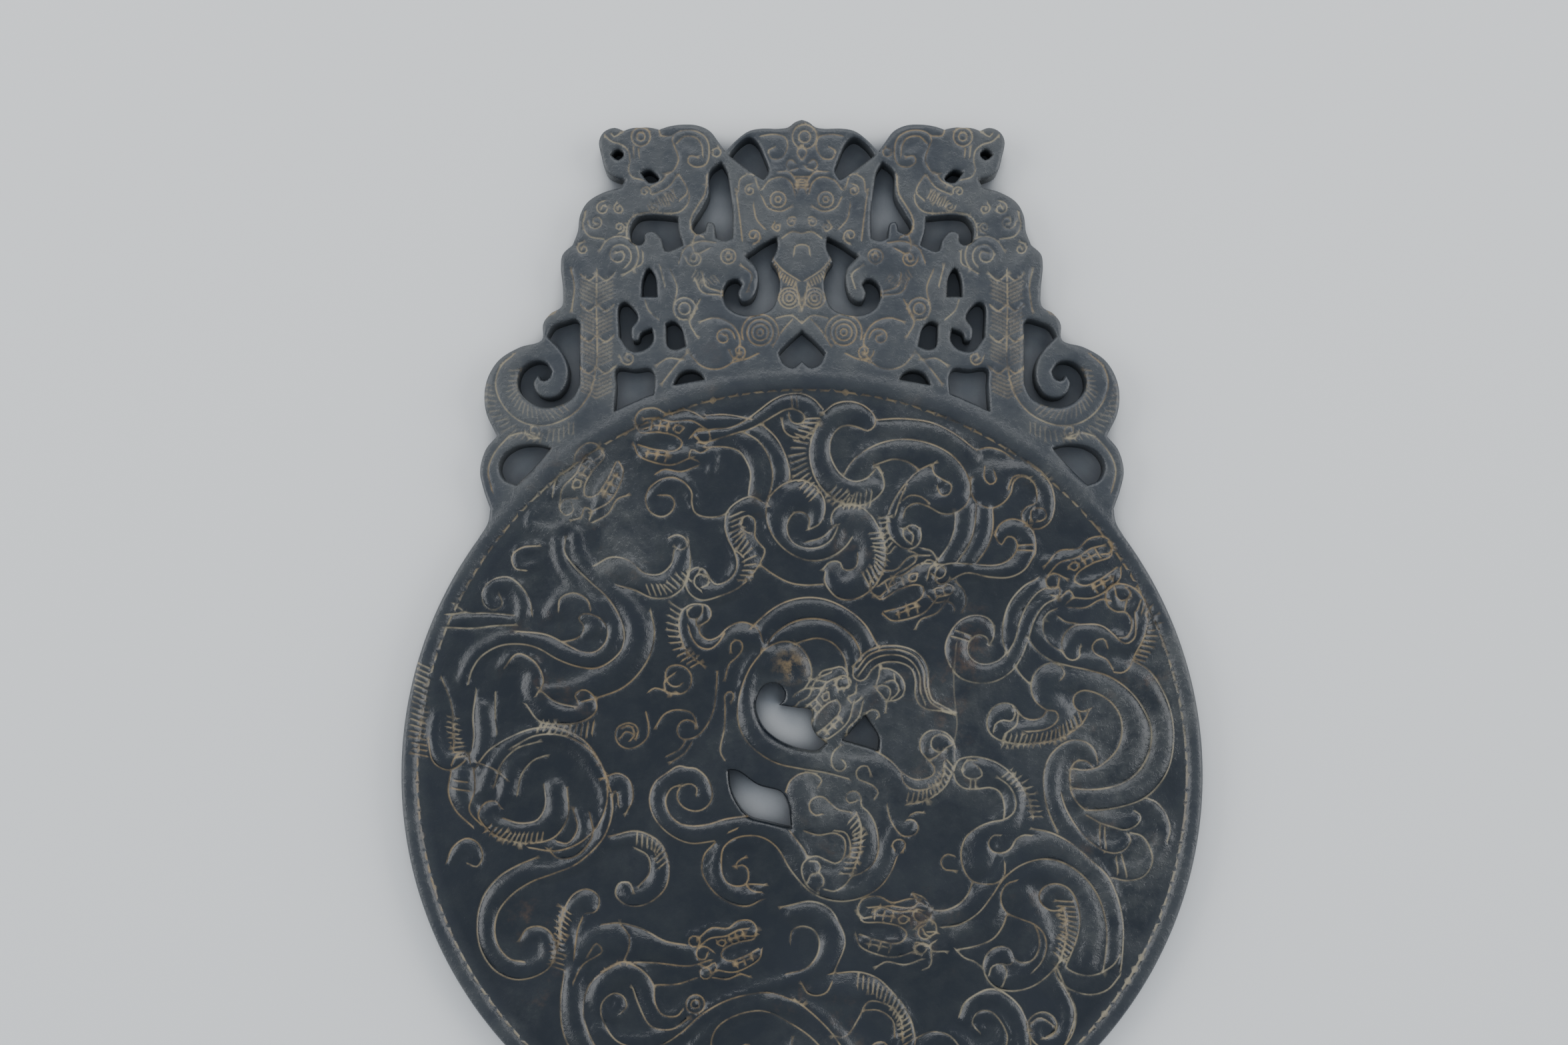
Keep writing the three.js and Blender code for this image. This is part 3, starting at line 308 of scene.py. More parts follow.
# The dragons: each row is a limb or a length of body, as (x, y, half its width) along its middle.
DRAGONS = {
    "middle": [
        [(16.7, 29, 2), (14.5, 35, 2.3), (9.5, 39.2, 2.5), (2, 41, 2.6), (-5, 39.2, 2.6),
         (-11.5, 33, 2.2)],
        [(12.7, 27.5, 1.6), (11.3, 32, 2.1), (5.4, 35.7, 2.4), (-2, 35, 2.3), (-6.5, 33.4, 1.4)],
        [(-9.6, 30, 1.6), (-12.8, 26, 2.1), (-14, 17, 2), (-11, 8.4, 2.4), (-4, 4, 2.6), (8, 2.4, 2.4),
         (20, 0.8, 2.6), (26, -3.6, 2.8), (33, -4, 2.3), (36.7, 1, 2), (36.2, 7, 1.9), (32.6, 8.8, 1.8),
         (31, 5, 1.4)],
        [(-8.5, 27, 2.6), (-3.6, 28.6, 3.4), (-0.6, 25, 2.6), (-1.4, 22.2, 1.4)],
        [(-11, 33, 2.4), (-16, 33.4, 3.2), (-21, 30.6, 3), (-25.5, 30, 2.8), (-28.8, 34, 2.4),
         (-28.6, 39.6, 1.9), (-25.4, 41.6, 1.8), (-24, 38.6, 1.4)],
        [(14.4, 25.4, 1.7), (16.8, 29, 2), (22, 30.2, 2.1), (28, 27.6, 2), (30.2, 21, 1.9),
         (33, 16.4, 1.3), (38, 14.7, 0.7)],
        [(9.4, 24.4, 2), (6.8, 20, 2.4), (5, 15.6, 2.1), (3.4, 11.6, 1.2)],
        [(22.6, 22, 3.2), (17.4, 18.6, 2.8), (12.4, 14, 2.8), (8.6, 10.4, 1.8), (6.2, 8.2, 0.8)],
    ],
    "lower": [
        [(-24.4, -5, 1.6), (-26.4, -1, 2.2), (-31, -0.8, 2.3), (-35.6, -4.6, 2.2), (-34.6, -11, 2.3),
         (-28, -15.2, 2.4), (-19, -14.3, 2.7), (-9, -14, 2.8), (-2, -18.6, 2.7), (2.8, -26.6, 2.5),
         (10, -30, 2), (17, -27.4, 2.5), (21, -21, 2.5), (23.4, -14, 1.9)],
        [(-11.6, -17.4, 1.3), (-18.6, -18.4, 1.8), (-21.4, -23.6, 1.8), (-18.6, -29.6, 1.9),
         (-12.4, -31, 1.6), (-8.4, -27.6, 0.9)],
        [(-0.6, -4, 3.4), (2.4, -11, 3.6), (10.4, -12, 3.2), (15.6, -15.4, 2.9), (14.6, -22.4, 2.8),
         (8, -26.4, 2.2), (2.6, -25, 1.9), (2.8, -22.6, 1.2)],
        [(23, -17.6, 1.4), (26, -14.6, 1.8), (27.6, -12.6, 1.2)],
    ],
    "top": [
        [(-26, 84.4, 1), (-18, 85.3, 1.4), (-10, 89, 1.9), (-4, 92.7, 2.1), (1.6, 91.8, 2.2),
         (3.2, 88, 2), (0, 85.1, 1.8), (-4.2, 86.6, 1.2)],
        [(-12.4, 85, 2.2), (-8, 81.4, 2.7), (-5.7, 76, 2.8), (-7.6, 69.6, 2)],
        [(-15.8, 83.4, 1.6), (-12, 80.4, 2.6), (-10.6, 75, 2.7), (-11, 70, 2.6)],
        [(-9.6, 66, 2), (-14, 66.2, 2.8), (-17, 61.6, 2.9), (-14.4, 53, 3), (-17.6, 46.4, 2.8),
         (-24, 44.6, 2.4), (-28.2, 48, 2), (-25.4, 50.4, 1.6)],
        [(3.6, 62.6, 1.5), (3.8, 67, 2.2), (-1, 69.4, 3.4), (-6, 65, 3), (-5.8, 58.4, 2.4),
         (1, 54.8, 1.8), (7.4, 56.8, 2.1), (9.4, 62.6, 2.6), (14.6, 63, 3.4), (17.8, 55.4, 3),
         (14.6, 47.8, 2.8), (9, 46.4, 2.4), (7.3, 50, 1.6)],
        [(-37.4, 69.4, 1.1), (-33.6, 72.9, 1.7), (-28.8, 71.4, 2), (-26.8, 65.6, 0.8)],
        [(-13.6, 88.3, 0.7), (-20, 88, 1.8), (-27, 87.6, 2.4), (-34, 86.2, 2.3), (-40.8, 83.4, 1.3)],
        [(-24, 79.4, 1.8), (-29.6, 79.2, 2), (-35, 79, 2.1), (-39.6, 78.6, 1.6)],
        [(-25.6, 81.4, 1.2), (-22.4, 79.8, 1.6), (-22.8, 75.4, 1.4)],
    ],
    "top_right": [
        [(16.6, 88.6, 2.2), (12, 90.2, 3), (6.6, 87, 2.8), (4.4, 80, 2.6), (6.6, 74, 2.8),
         (12.4, 70.6, 2.9), (18.8, 71.4, 1.8)],
        [(17.4, 86.4, 1.7), (26, 86.1, 2.4), (35, 84.2, 2.8), (42.4, 78.6, 2.8)],
        [(12, 75.8, 1.4), (16.6, 79.2, 2.4), (26, 80.8, 2.8), (35, 78, 3.4), (39, 71.6, 3.5),
         (34.4, 67.6, 2.6), (29.6, 69, 1.4)],
        [(32.6, 73.4, 3), (26.8, 70.4, 2.7), (22.9, 64.4, 2.1), (25, 58.2, 2), (28.6, 60, 1.6),
         (26.4, 61.6, 1)],
        [(43.6, 74.6, 2.4), (47.6, 72.6, 5.4), (51.6, 74.6, 3), (56.8, 75, 2.4), (61, 70.6, 2.2),
         (60.6, 63.6, 2), (56.6, 63, 1.7), (57.8, 66.8, 1.2)],
        [(41, 66, 2.6), (40.3, 60, 2.7), (36.6, 53, 2.2)],
        [(45.8, 66, 2), (45.4, 60, 2.1), (41.6, 53, 1.8)],
        [(34.5, 48.2, 1.1), (38, 50.6, 1.6), (47, 50, 1.7), (54.6, 51.4, 2.1), (57.2, 56.6, 2.1),
         (54, 61, 1.9), (49.6, 59.4, 1.3)],
        [(33, 50.4, 1.8), (28, 47.4, 2.6), (21.2, 43.2, 1.3)],
        [(37, 45, 2), (30, 42.8, 2.2), (24, 39.6, 1.3)],
    ],
    "right": [
        [(47.6, 33.6, 1), (44.6, 37, 2), (39.8, 35.2, 2.5), (38.8, 28.6, 2.7), (44.4, 24.5, 2.5),
         (51, 26.4, 2.3), (54.8, 33.6, 2.4), (58, 39.8, 2.4), (62.6, 44, 1.6)],
        [(52, 33, 0.9), (52.8, 40, 2), (58.6, 46.8, 2.1)],
        [(59, 34, 1.4), (66, 28.4, 2.2), (76, 26.8, 2.5), (84.6, 22.6, 2.8), (89.8, 13, 2.8),
         (89, 2.4, 2.8), (81.6, -5, 2.8), (69, -6.6, 2.6)],
        [(61.6, 22.4, 3.8), (69, 23, 2.6), (78, 19.8, 2.9), (83.3, 11, 3.2), (80.2, 1.6, 3),
         (69, -1.5, 2.2)],
        [(61.4, 18, 3.4), (65.4, 13.4, 2.4), (59, 10.6, 2.5), (51.4, 10, 2.3), (48.6, 13.4, 1.9),
         (52, 15.4, 1.3)],
        [(66.8, 30.6, 2), (70.4, 34.4, 3), (77, 32.8, 3), (82.6, 32.6, 2.7), (85.4, 39, 2.2),
         (82.6, 45.2, 2), (78, 44.6, 1.8), (78.4, 41.6, 1.2)],
        [(73.6, 3, 1.1), (70, 7, 1.8), (64.6, 5, 2.1), (62.2, -3, 2), (64.8, -11.4, 2),
         (70.6, -17.4, 2.1), (77.4, -19.2, 2.1), (81.2, -16.6, 1.4)],
        [(71, -10.6, 1.6), (77.4, -12.4, 2), (82.8, -11.6, 1.8)],
        [(86.8, -8, 1.6), (90, -13.4, 2.2), (88.6, -20, 2), (83.4, -24.4, 2.1), (79, -23.6, 1.4)],
        [(60.6, 52.2, 1.8), (67, 52.4, 2.4), (73, 53, 2.1), (77, 53.5, 1.1)],
        [(66, 43.8, 1.8), (71, 46, 2.5), (78.6, 49, 1.3)],
    ],
    "lower_right": [
        [(33.4, -36.2, 1.8), (40.6, -34.8, 2.4), (46.6, -29.4, 2.9), (53.4, -21.4, 3.2), (62, -18.3, 3.1),
         (71, -23, 3), (77, -33.6, 2.7), (77.4, -47, 2.1)],
        [(52.4, -27.4, 2.2), (60.6, -24.6, 2.8), (68.6, -28.4, 2.9), (72.2, -38, 3), (70.8, -47.4, 2.4)],
        [(39, -40.5, 2.2), (45.4, -37.6, 2.8), (49.6, -31, 2)],
        [(44.6, -22.4, 3.6), (45.6, -16.4, 3.6), (51.6, -11.6, 2.8), (52.4, -4.2, 2.4), (46, 0.6, 2.3),
         (41, -0.2, 1.8), (43.4, -1.9, 1.1)],
        [(54, -30, 3.4), (57.6, -35.4, 3.2), (60.4, -41.4, 2.2), (56.4, -48.6, 2.1), (49.6, -51.6, 2),
         (46.8, -47.6, 1.9), (50.4, -44.9, 1.6), (52, -47.6, 1)],
        [(60.6, -31.4, 1.8), (63.4, -29, 2), (67, -33, 2.2), (66.8, -40, 2.2), (64, -47, 1.6)],
        [(31, -34, 1.7), (24, -35.8, 2.2), (15.5, -36.6, 1.2)],
        [(30, -43.2, 1.9), (22.6, -42.8, 2.3), (15.4, -41.6, 1.2)],
    ],
    "upper_left": [
        [(-61.2, 58, 1.9), (-60.2, 52.6, 2), (-56.4, 47, 2.2)],
        [(-56.6, 60, 1.8), (-55.6, 54.4, 2.3), (-49, 46.6, 2.2), (-43.8, 42, 2.4), (-40.9, 35, 3.1),
         (-43.6, 27.6, 3.3), (-51.4, 22.4, 3.2), (-60.6, 20.4, 1.8), (-67, 20.6, 2.6), (-66.6, 25.4, 2.6),
         (-72, 28.4, 2.2), (-75.4, 26.4, 1.1)],
        [(-49.4, 42.4, 1.8), (-46.8, 35.6, 2.1), (-50.6, 28.6, 2.2), (-58.6, 29.2, 2.1), (-66, 32.6, 2),
         (-74, 33.4, 1.9), (-82, 28.6, 2.1), (-85, 23, 1.2)],
        [(-62.4, 40, 2.4), (-58, 42.6, 4), (-52.8, 40, 3.4), (-51.4, 36, 2.2), (-54.4, 34.6, 1)],
        [(-50, 48.6, 2.2), (-44.6, 51.2, 2.9), (-39, 47.4, 2.4), (-33.4, 47.2, 2.3), (-30.3, 52.6, 1.9),
         (-29.6, 58, 1.6), (-32.6, 58.4, 1.2)],
        [(-70.4, 38, 1.6), (-69.7, 42.6, 2), (-73, 47, 2.1), (-78.4, 45.4, 1.9), (-77.6, 41.2, 1.1)],
        [(-71, 37.4, 1.2), (-79, 38.4, 1.2), (-88.4, 37.6, 1.4)],
        [(-66.6, 51.8, 0.9), (-70.2, 51, 1.4), (-71.4, 54.6, 1.5), (-65, 56.9, 1.2)],
        [(-64, 60.6, 1.2), (-68.2, 62, 1.3), (-67.4, 65.8, 1)],
        [(-64.4, 60, 1.2), (-59.4, 61.6, 1.4), (-56.4, 65.8, 1.3)],
        [(-62, 70.2, 1.7), (-57, 73, 2.5), (-50.6, 78.6, 1.7)],
        [(-51, 65.6, 1.4), (-49.6, 70.8, 2.3), (-45.8, 76.2, 1.2)],
    ],
    "left": [
        [(-79.2, -4, 1.8), (-76, 3, 2.4), (-69.4, 8.2, 2.5), (-60, 9, 2.3), (-52, 1.6, 2),
         (-48.5, -8, 1.8), (-51, -19, 1.8), (-60, -24.2, 1.9), (-70, -25.8, 2.3), (-77.4, -33, 2.4),
         (-77.4, -43.4, 2.3), (-70.4, -49, 2.3), (-63.4, -46, 2), (-64.6, -40.2, 1.5), (-68.4, -40.8, 1)],
        [(-79.7, 16, 2.2), (-79, 9, 2.6), (-80.6, 3.4, 1.8)],
        [(-73.8, -5, 2.2), (-71.6, 2, 2.4), (-65, 5.8, 1.1)],
        [(-61.4, -4, 2.6), (-61.6, -11, 2.8), (-67.4, -14.6, 2.3), (-75, -14, 2), (-78.6, -10.4, 1.8),
         (-75.8, -8.4, 1.3)],
        [(-84.6, -0.6, 2.6), (-84.8, -6, 2.6), (-80.6, -11, 1.6)],
        [(-55.3, -9.8, 1.1), (-54.4, -15, 1.5), (-58, -19.6, 1.8), (-61.6, -18.4, 1.1)],
        [(-91.2, 14.6, 1.2), (-91.8, 8, 1.8), (-89.4, 3, 2), (-85, 3, 1.7)],
        [(-67, 19, 2.2), (-63.4, 15.6, 2.4), (-57, 14.4, 2), (-53.2, 16.6, 2), (-55, 19.4, 1.6)],
        [(-87, -21.4, 1), (-84, -18, 1.5), (-81, -21, 1)],
        [(-48, -3.4, 1.4), (-45.2, -2.4, 2.1), (-44, -8, 1.6)],
        [(-47.4, -17.6, 1.5), (-41, -16.6, 1.8), (-35.6, -20.4, 2.3), (-36.4, -28.4, 2.4),
         (-42, -31, 2.2), (-44.2, -28.2, 1.4)],
    ],
    "lower_left": [
        [(-27.6, -45, 1.8), (-35, -43.8, 2.8), (-42, -42.6, 3.6)],
        [(-44, -42.4, 3.8), (-50.4, -42, 4), (-55.6, -45, 2.8), (-58.6, -41, 2.2), (-57.6, -34.4, 2),
         (-53.8, -31.4, 1.8), (-52.4, -34.2, 1.2)],
        [(-56.6, -50, 2.4), (-57, -58, 2.7), (-54.4, -67, 2.7), (-47, -74, 2.6), (-38, -76.4, 2.4),
         (-29, -74.6, 2)],
        [(-45.6, -57, 1.2), (-47, -60.6, 1.6), (-50.6, -56.4, 2.4), (-47.2, -50.8, 3), (-41, -50.4, 3),
         (-37.8, -57, 2), (-34.6, -61.2, 2), (-29.6, -59.6, 1.8), (-27.4, -56.6, 1.6)],
        [(-51, -63.6, 1.6), (-46, -66.4, 2), (-38.6, -66.6, 2.2), (-32, -64, 2)],
        [(-27, -40.4, 1.7), (-19.6, -40, 2.5), (-12, -39.6, 1.2)],
        [(-24, -50, 1.5), (-17.4, -48, 2.3), (-10.8, -44.8, 1.2)],
    ],
    "bottom": [
        [(-2.4, -35, 1.7), (3.4, -35.2, 2.7), (7.6, -40.4, 3.1), (5, -48, 2.8), (-3, -51.6, 2.1),
         (-10, -53.4, 1.6), (-20, -57.4, 1.8), (-29, -64.2, 1.8)],
        [(-26.6, -68, 2), (-18.6, -60.2, 2.4), (-8, -57, 2.5), (3, -60.2, 2.6), (10.4, -69, 2.6),
         (12, -79, 2.4), (6, -86, 2), (-2, -86.4, 1.4)],
        [(3, -53, 2.2), (9.6, -54, 3), (17, -54, 2.6), (23.6, -58.6, 2.4), (26, -66, 2.3),
         (22.4, -72.4, 2), (18.4, -69, 1.5), (21.4, -66.6, 1.2)],
        [(43.8, -64, 1.2), (44.4, -60.6, 1.6), (49, -60.6, 2), (49.8, -66.4, 2), (43.4, -69.4, 2),
         (38, -66, 2), (33, -66.4, 2), (29, -70.6, 1.8), (29.4, -78, 1.6)],
        [(41, -61, 1.7), (43.6, -56.4, 2), (49, -56.4, 2.1), (53.6, -61.4, 2), (54.4, -69, 1.8),
         (49, -77, 1.8), (40, -82.4, 1.6)],
        [(60.6, -64.6, 1), (61.8, -62.6, 1.4), (58.6, -62.4, 1.6), (59, -66.6, 1.8), (64.4, -66, 1.8),
         (66, -59, 1.6), (63.6, -53.4, 1.4)],
        [(-15, -68.6, 1.1), (-13.6, -72.4, 1.6), (-18.4, -75.4, 1.9), (-22, -70.4, 1.8)],
        [(-36, -86, 1.2), (-26, -84.6, 1.8), (-16, -82.6, 2), (-7, -76, 2), (-4, -68.6, 1.8)],
        [(18, -86.6, 1.2), (24, -85.4, 2.2), (31, -84.4, 1.4)],
    ],
}

# What stands over the crest's face for x > 0: straps as above, and bosses as (x, y, radius).
CREST_STRAPS = [
    [(24.6, 154, 1.2), (24.4, 159, 1.5), (29, 160.8, 1.5), (32, 159.6, 1)],
    [(30, 156.6, 1), (28, 154.6, 2.2), (25.4, 153.6, 1.2)],
    [(48, 140, 1.4), (51.4, 141, 2.2), (51.6, 136.6, 2.4), (54.6, 134.4, 1.4)],
    [(57.4, 130.4, 1.6), (52.4, 122, 3.4), (51.6, 106, 3.6), (54.6, 93, 3.6), (64, 87.6, 3.4),
     (73.4, 92, 3.2), (75, 99.6, 2.6), (69, 104.8, 1.6)],
    [(36.6, 128.4, 1.2), (34, 122, 1.5), (34.4, 117.4, 1.3)],
    [(27.4, 128.6, 3), (20, 129, 3.6), (14.4, 127, 1.6), (13.4, 123, 1.4)],
    [(1.6, 151, 1), (4.6, 150, 1.4), (9.4, 152.4, 0.9)],
    [(12.6, 146.4, 1.3), (16, 144, 0.9), (14.6, 136, 2.2), (11.4, 134.6, 1.6)],
    [(1.2, 137.4, 1.6), (4.6, 137, 1.5), (6, 135, 1)],
]
CREST_BOSSES = [(46, 129.8, 4.4), (29.6, 116.6, 3), (22, 107.4, 6.2), (15.8, 105.4, 2.5), (67.2, 85.4, 3),
                (6, 144, 2.2), (43.6, 103.8, 2.2), (10.5, 110.3, 3.2), (3.2, 119, 2.5), (27, 129, 2.2)]


# The cut lines. Each is a smooth line through a few points, set from the photo.
MIDDLE_DRAGON = [
    [(-12.6, 36.2), (-9, 39.6), (-5, 42.2), (0, 43.6), (5, 43.4), (10.5, 41.2), (15.5, 37.2), (19.3, 31)],
    [(-9.6, 31), (-6.5, 34.8), (-2, 37.6), (3, 38.4), (8, 37.3), (12.5, 34), (14.6, 30), (14.7, 28.2)],
    [(-2, 32), (1, 33), (4, 33.5), (7.5, 32.4), (10.2, 29.4), (11.2, 26), (11.4, 23.5)],
    [(-9.4, 30.8), (-13.2, 25.6), (-15.6, 19), (-16, 13), (-14, 8), (-10, 4.3), (-6, 2.2), (0, 0.9),
     (6, -0.1), (11.6, -1.6)],
    [(-10.3, 30), (-7.5, 31.8), (-4.3, 32.7), (-1, 31.8), (1.3, 29), (2.4, 25.5), (2, 23), (0.8, 21.2)],
    [(-9.8, 32.6), (-10.8, 35.4), (-12.8, 37), (-15.5, 37.5), (-18.5, 36.2), (-21, 33.8), (-23.5, 33.1),
     (-25.6, 34.8), (-25.4, 36.6), (-23.4, 38), (-22.7, 39.8), (-23.6, 41.5), (-25.3, 42), (-28, 41.8),
     (-30, 40.2), (-30.7, 37), (-30, 32.8), (-28.2, 29.6), (-24.8, 26.7)],
    [(-19.4, 34.6), (-21, 32.2), (-23, 30.8), (-25.6, 31.3), (-27.4, 33.4), (-28.4, 36.4)],
    [(-24.9, 41.8), (-24.9, 40), (-26.2, 38.4), (-28.2, 38.6), (-28.7, 40.2), (-27.5, 41.3)],
    [(-26.2, 38.4), (-26.6, 37), (-25.6, 36.4)],
    [(-17.8, 30.4), (-17.7, 32), (-16.5, 33), (-15.2, 32.6), (-14.9, 30.8), (-16.4, 28.7), (-18.2, 27),
     (-19.2, 23.6)],
    [(-17.4, 18), (-17, 19.3), (-18, 20.2), (-19.2, 19.3), (-19.2, 16), (-19.4, 11), (-20.4, 5.2),
     (-19.3, 3)],
    [(-21.2, 25), (-21.4, 21), (-22, 16), (-23.6, 12), (-26, 9.2), (-28.3, 8.3), (-30.3, 8.6),
     (-31.2, 10.4), (-30.4, 12.4), (-28.6, 13.1), (-27, 12.4), (-26.3, 11.3), (-26.5, 12.8),
     (-27.6, 14.8), (-29.8, 15.5), (-32.2, 15.5), (-34.5, 14.4), (-36.4, 11.6)],
    [(-29, 8), (-30.4, 5.9), (-33.8, 4)],
    [(-27.7, 7.1), (-29.2, 4.9), (-32.4, 2.7)],
    [(-30, 22.2), (-30.8, 21.5), (-32.6, 21.6), (-34.1, 23.6), (-33.6, 26), (-31.6, 26.8),
     (-29.2, 26.2), (-27.7, 24.2), (-28, 21.4), (-29.8, 19.7), (-33, 19.8), (-35.5, 20.8), (-37, 21),
     (-38.2, 20.2)],
    [(-41.4, 8.6), (-40.9, 10.4), (-41.8, 11.9), (-43.8, 12.3), (-46, 11.2), (-46.6, 9), (-45.6, 6.9),
     (-43.2, 5.9), (-40.6, 6.8), (-38.6, 8.8), (-38.3, 11.5), (-39, 15)],
    [(13.2, 27), (16, 30), (20, 31.5), (25, 31.4), (29, 29.7), (31.4, 26), (31.6, 21), (32.6, 18),
     (34.8, 16.8), (38.4, 14.8)],
    [(13.9, 26), (16.6, 29.2), (20.5, 30.6), (25, 30.4), (28.6, 28.6), (30.5, 25.2), (30.7, 21),
     (32, 17.6), (34.4, 16), (38.2, 14.6)],
    [(14.6, 24.9), (17, 27.8), (20.4, 29.2), (25, 29), (27.8, 27.2), (29.4, 24), (29.5, 20.4),
     (30.8, 17)],
    [(12.8, 26), (12.9, 23.8), (14.5, 22.8), (16, 23.5), (17.6, 25.8), (20, 27.3), (24, 27.5), (27.2, 26),
     (28.3, 23), (28.3, 19.5), (29.3, 17), (31, 15.8), (34.6, 15.3), (38.3, 14.3)],
    [(19.5, 26), (22, 25.8), (24.6, 24), (25.7, 21.4), (25, 19), (23, 17.9), (21, 17.8)],
    [(21, 22.6), (22.6, 23), (23.9, 21.8), (24, 20), (22.2, 18.2)],
    [(23, 24.4), (23.2, 23)],
    [(18.4, 21.2), (20, 21.8), (21.8, 21), (22, 19.5), (21.2, 17.6), (20.9, 15.2)],
    [(19.6, 27), (19.2, 24), (18.4, 21), (19.6, 19.6), (21.2, 17.6)],
    [(16, 14.6), (17.2, 15.6), (18.8, 15.4), (19.3, 14.2), (18.8, 13.7)],
    [(4.2, 24.2), (5, 25.2), (7.4, 25.9), (10, 26.3), (11.6, 24.4)],
    [(2, 23.4), (4, 23), (6, 22.6)],
    [(-1.7, 19.5), (0.6, 20.8), (3.4, 21), (6, 21)],
    [(11.4, 24), (11.6, 22), (10.6, 20.9), (9, 21.1), (8.3, 22.4), (9, 23.5), (10, 23.4)],
    [(10.2, 3), (11, 1.8), (10, 0.4), (8.4, 0.6), (7.3, 2.6), (7.8, 5), (9.4, 6.6)],
    [(17, 0), (16.2, 1.6), (14.6, 1.5), (13.5, 0.2), (14, -1.6), (15.8, -2.4), (17.8, -3.4), (19, -5),
     (18, -6.6)],
    [(19, 5), (22, 3), (25, 0), (28, -1.7), (31, -1.5), (33, -0.2), (32.8, 1.6), (31, 3.6), (29.6, 5.6),
     (29.6, 8.2), (31.4, 10.2), (34.4, 10.4), (37, 9), (38.3, 6)],
    [(24.6, 0), (25.4, -2.6), (27.6, -4.2), (30.8, -4.1), (33.6, -3), (35.1, -1), (35.4, 2.4)],
    [(33.8, 5.1), (32.4, 6.2), (32.3, 8.2), (33.8, 9.4), (36, 9), (37.4, 7.4)],
    [(31.8, 3), (33.4, 3.9), (34.8, 5), (36, 6.2), (37.2, 6.8)],
    [(33.8, 5.1), (35, 5.2), (36, 6.2)],
    [(26.4, -8), (29.4, -7.4), (33, -5.8), (36, -3), (37.3, -0.4)],
]
LOWER_DRAGON = [
    [(-26.4, -5.6), (-26.2, -4), (-27.5, -2.9), (-29.6, -3.2), (-31, -4.8), (-30.9, -7), (-29, -9),
     (-26, -9.6), (-23.6, -8.4), (-22.4, -6), (-22.9, -3), (-24.4, -0.6), (-26.6, 1), (-28.6, 1.2),
     (-30.8, 1.6), (-33.5, 0), (-36.6, -2.4), (-38, -6), (-37.4, -10), (-35, -13.6), (-31.6, -16.2),
     (-27.6, -17.6), (-21.8, -17)],
    [(-30.4, -3.1), (-32.6, -4), (-34, -6.8), (-33.2, -10), (-30.6, -12.6), (-27, -13.3), (-23, -12.8),
     (-19, -11.6), (-13.4, -10.8)],
    [(-3, -14.6), (-1.2, -17), (0.6, -19.4), (1.4, -21.2)],
    [(23.6, -21), (22.2, -24.6), (19.4, -28.4), (15, -31), (10, -32), (5.4, -31.3), (2, -29.6),
     (-0.8, -26.8), (-3.4, -23.4), (-5.4, -19.8), (-7.6, -17.4), (-10.6, -15.9), (-14, -15.7),
     (-17.2, -16.6), (-19.6, -18.8), (-20.1, -22), (-19.8, -25.4), (-18.4, -27.6), (-16, -28.3),
     (-13.4, -27.8), (-9.6, -27.9)],
    [(-14.4, -21.2), (-15.8, -22), (-16.6, -23.5), (-14.9, -23), (-13.6, -24), (-13.4, -26.6),
     (-13.9, -27.8), (-12.4, -29.4), (-10, -29.7)],
    [(-21.8, -17.6), (-24.4, -20.6), (-24.8, -25), (-22, -29.6), (-18, -32.4), (-13.6, -33.2),
     (-10, -31.6)],
    [(-18.2, -14.8), (-16.2, -13.9)],
    [(-4, -4.6), (-3, -2.2), (-1, -0.6), (1.4, 0), (3.6, -0.6), (4.9, -2), (4, -3.6)],
    [(5, -10.3), (3.4, -10.6), (2, -9.4), (1.9, -7.4), (3.4, -6.1), (5.4, -6.2), (7, -7.6), (9, -9.2),
     (11.8, -9.8)],
    [(13.4, -7.2), (11.8, -7.6), (10.9, -6.2), (11.8, -4.9), (13.6, -4.8), (14.7, -6.2), (14.8, -8.2),
     (16.6, -10), (18.2, -12.8), (19, -17), (18.8, -20.4), (17.4, -23), (14.6, -25), (12.4, -25.8),
     (10.6, -28), (8, -29.4), (5.4, -28.9)],
    [(0.6, -14.6), (4, -15.6), (8, -15.1), (10.4, -16.4), (10.8, -19), (10, -21.6), (8.4, -22.6),
     (6, -21.8), (3.6, -20.8), (1.4, -21.4), (0, -23), (0.1, -25.6), (1.6, -28.4), (3.8, -30)],
    [(8, -14.4), (10.8, -15), (12, -17.6), (11.8, -21)],
    [(13.6, -10), (14.6, -13), (14.6, -17.6), (13.8, -21.4), (12.2, -25.4)],
    [(2, -22), (3.8, -22.2), (4.6, -23.6), (3.8, -24.9), (2.2, -25.4), (1.4, -27.2)],
    [(2.4, -25.2), (4.2, -25), (5.4, -26.6), (5, -28.2), (3.8, -28.8), (4.2, -29.8)],
    [(26.2, -11.8), (27.6, -11.8), (28.9, -13.2), (28.6, -15), (27.2, -15.8), (25, -15.7), (23, -13.6),
     (21.8, -11), (21.2, -8)],
    [(23.1, -19.4), (22.4, -18), (23.2, -16.8), (24.8, -16.7), (25.8, -18), (25.2, -19.3)],
    [(27, -10.6), (28.6, -9.9), (30, -10)],
]
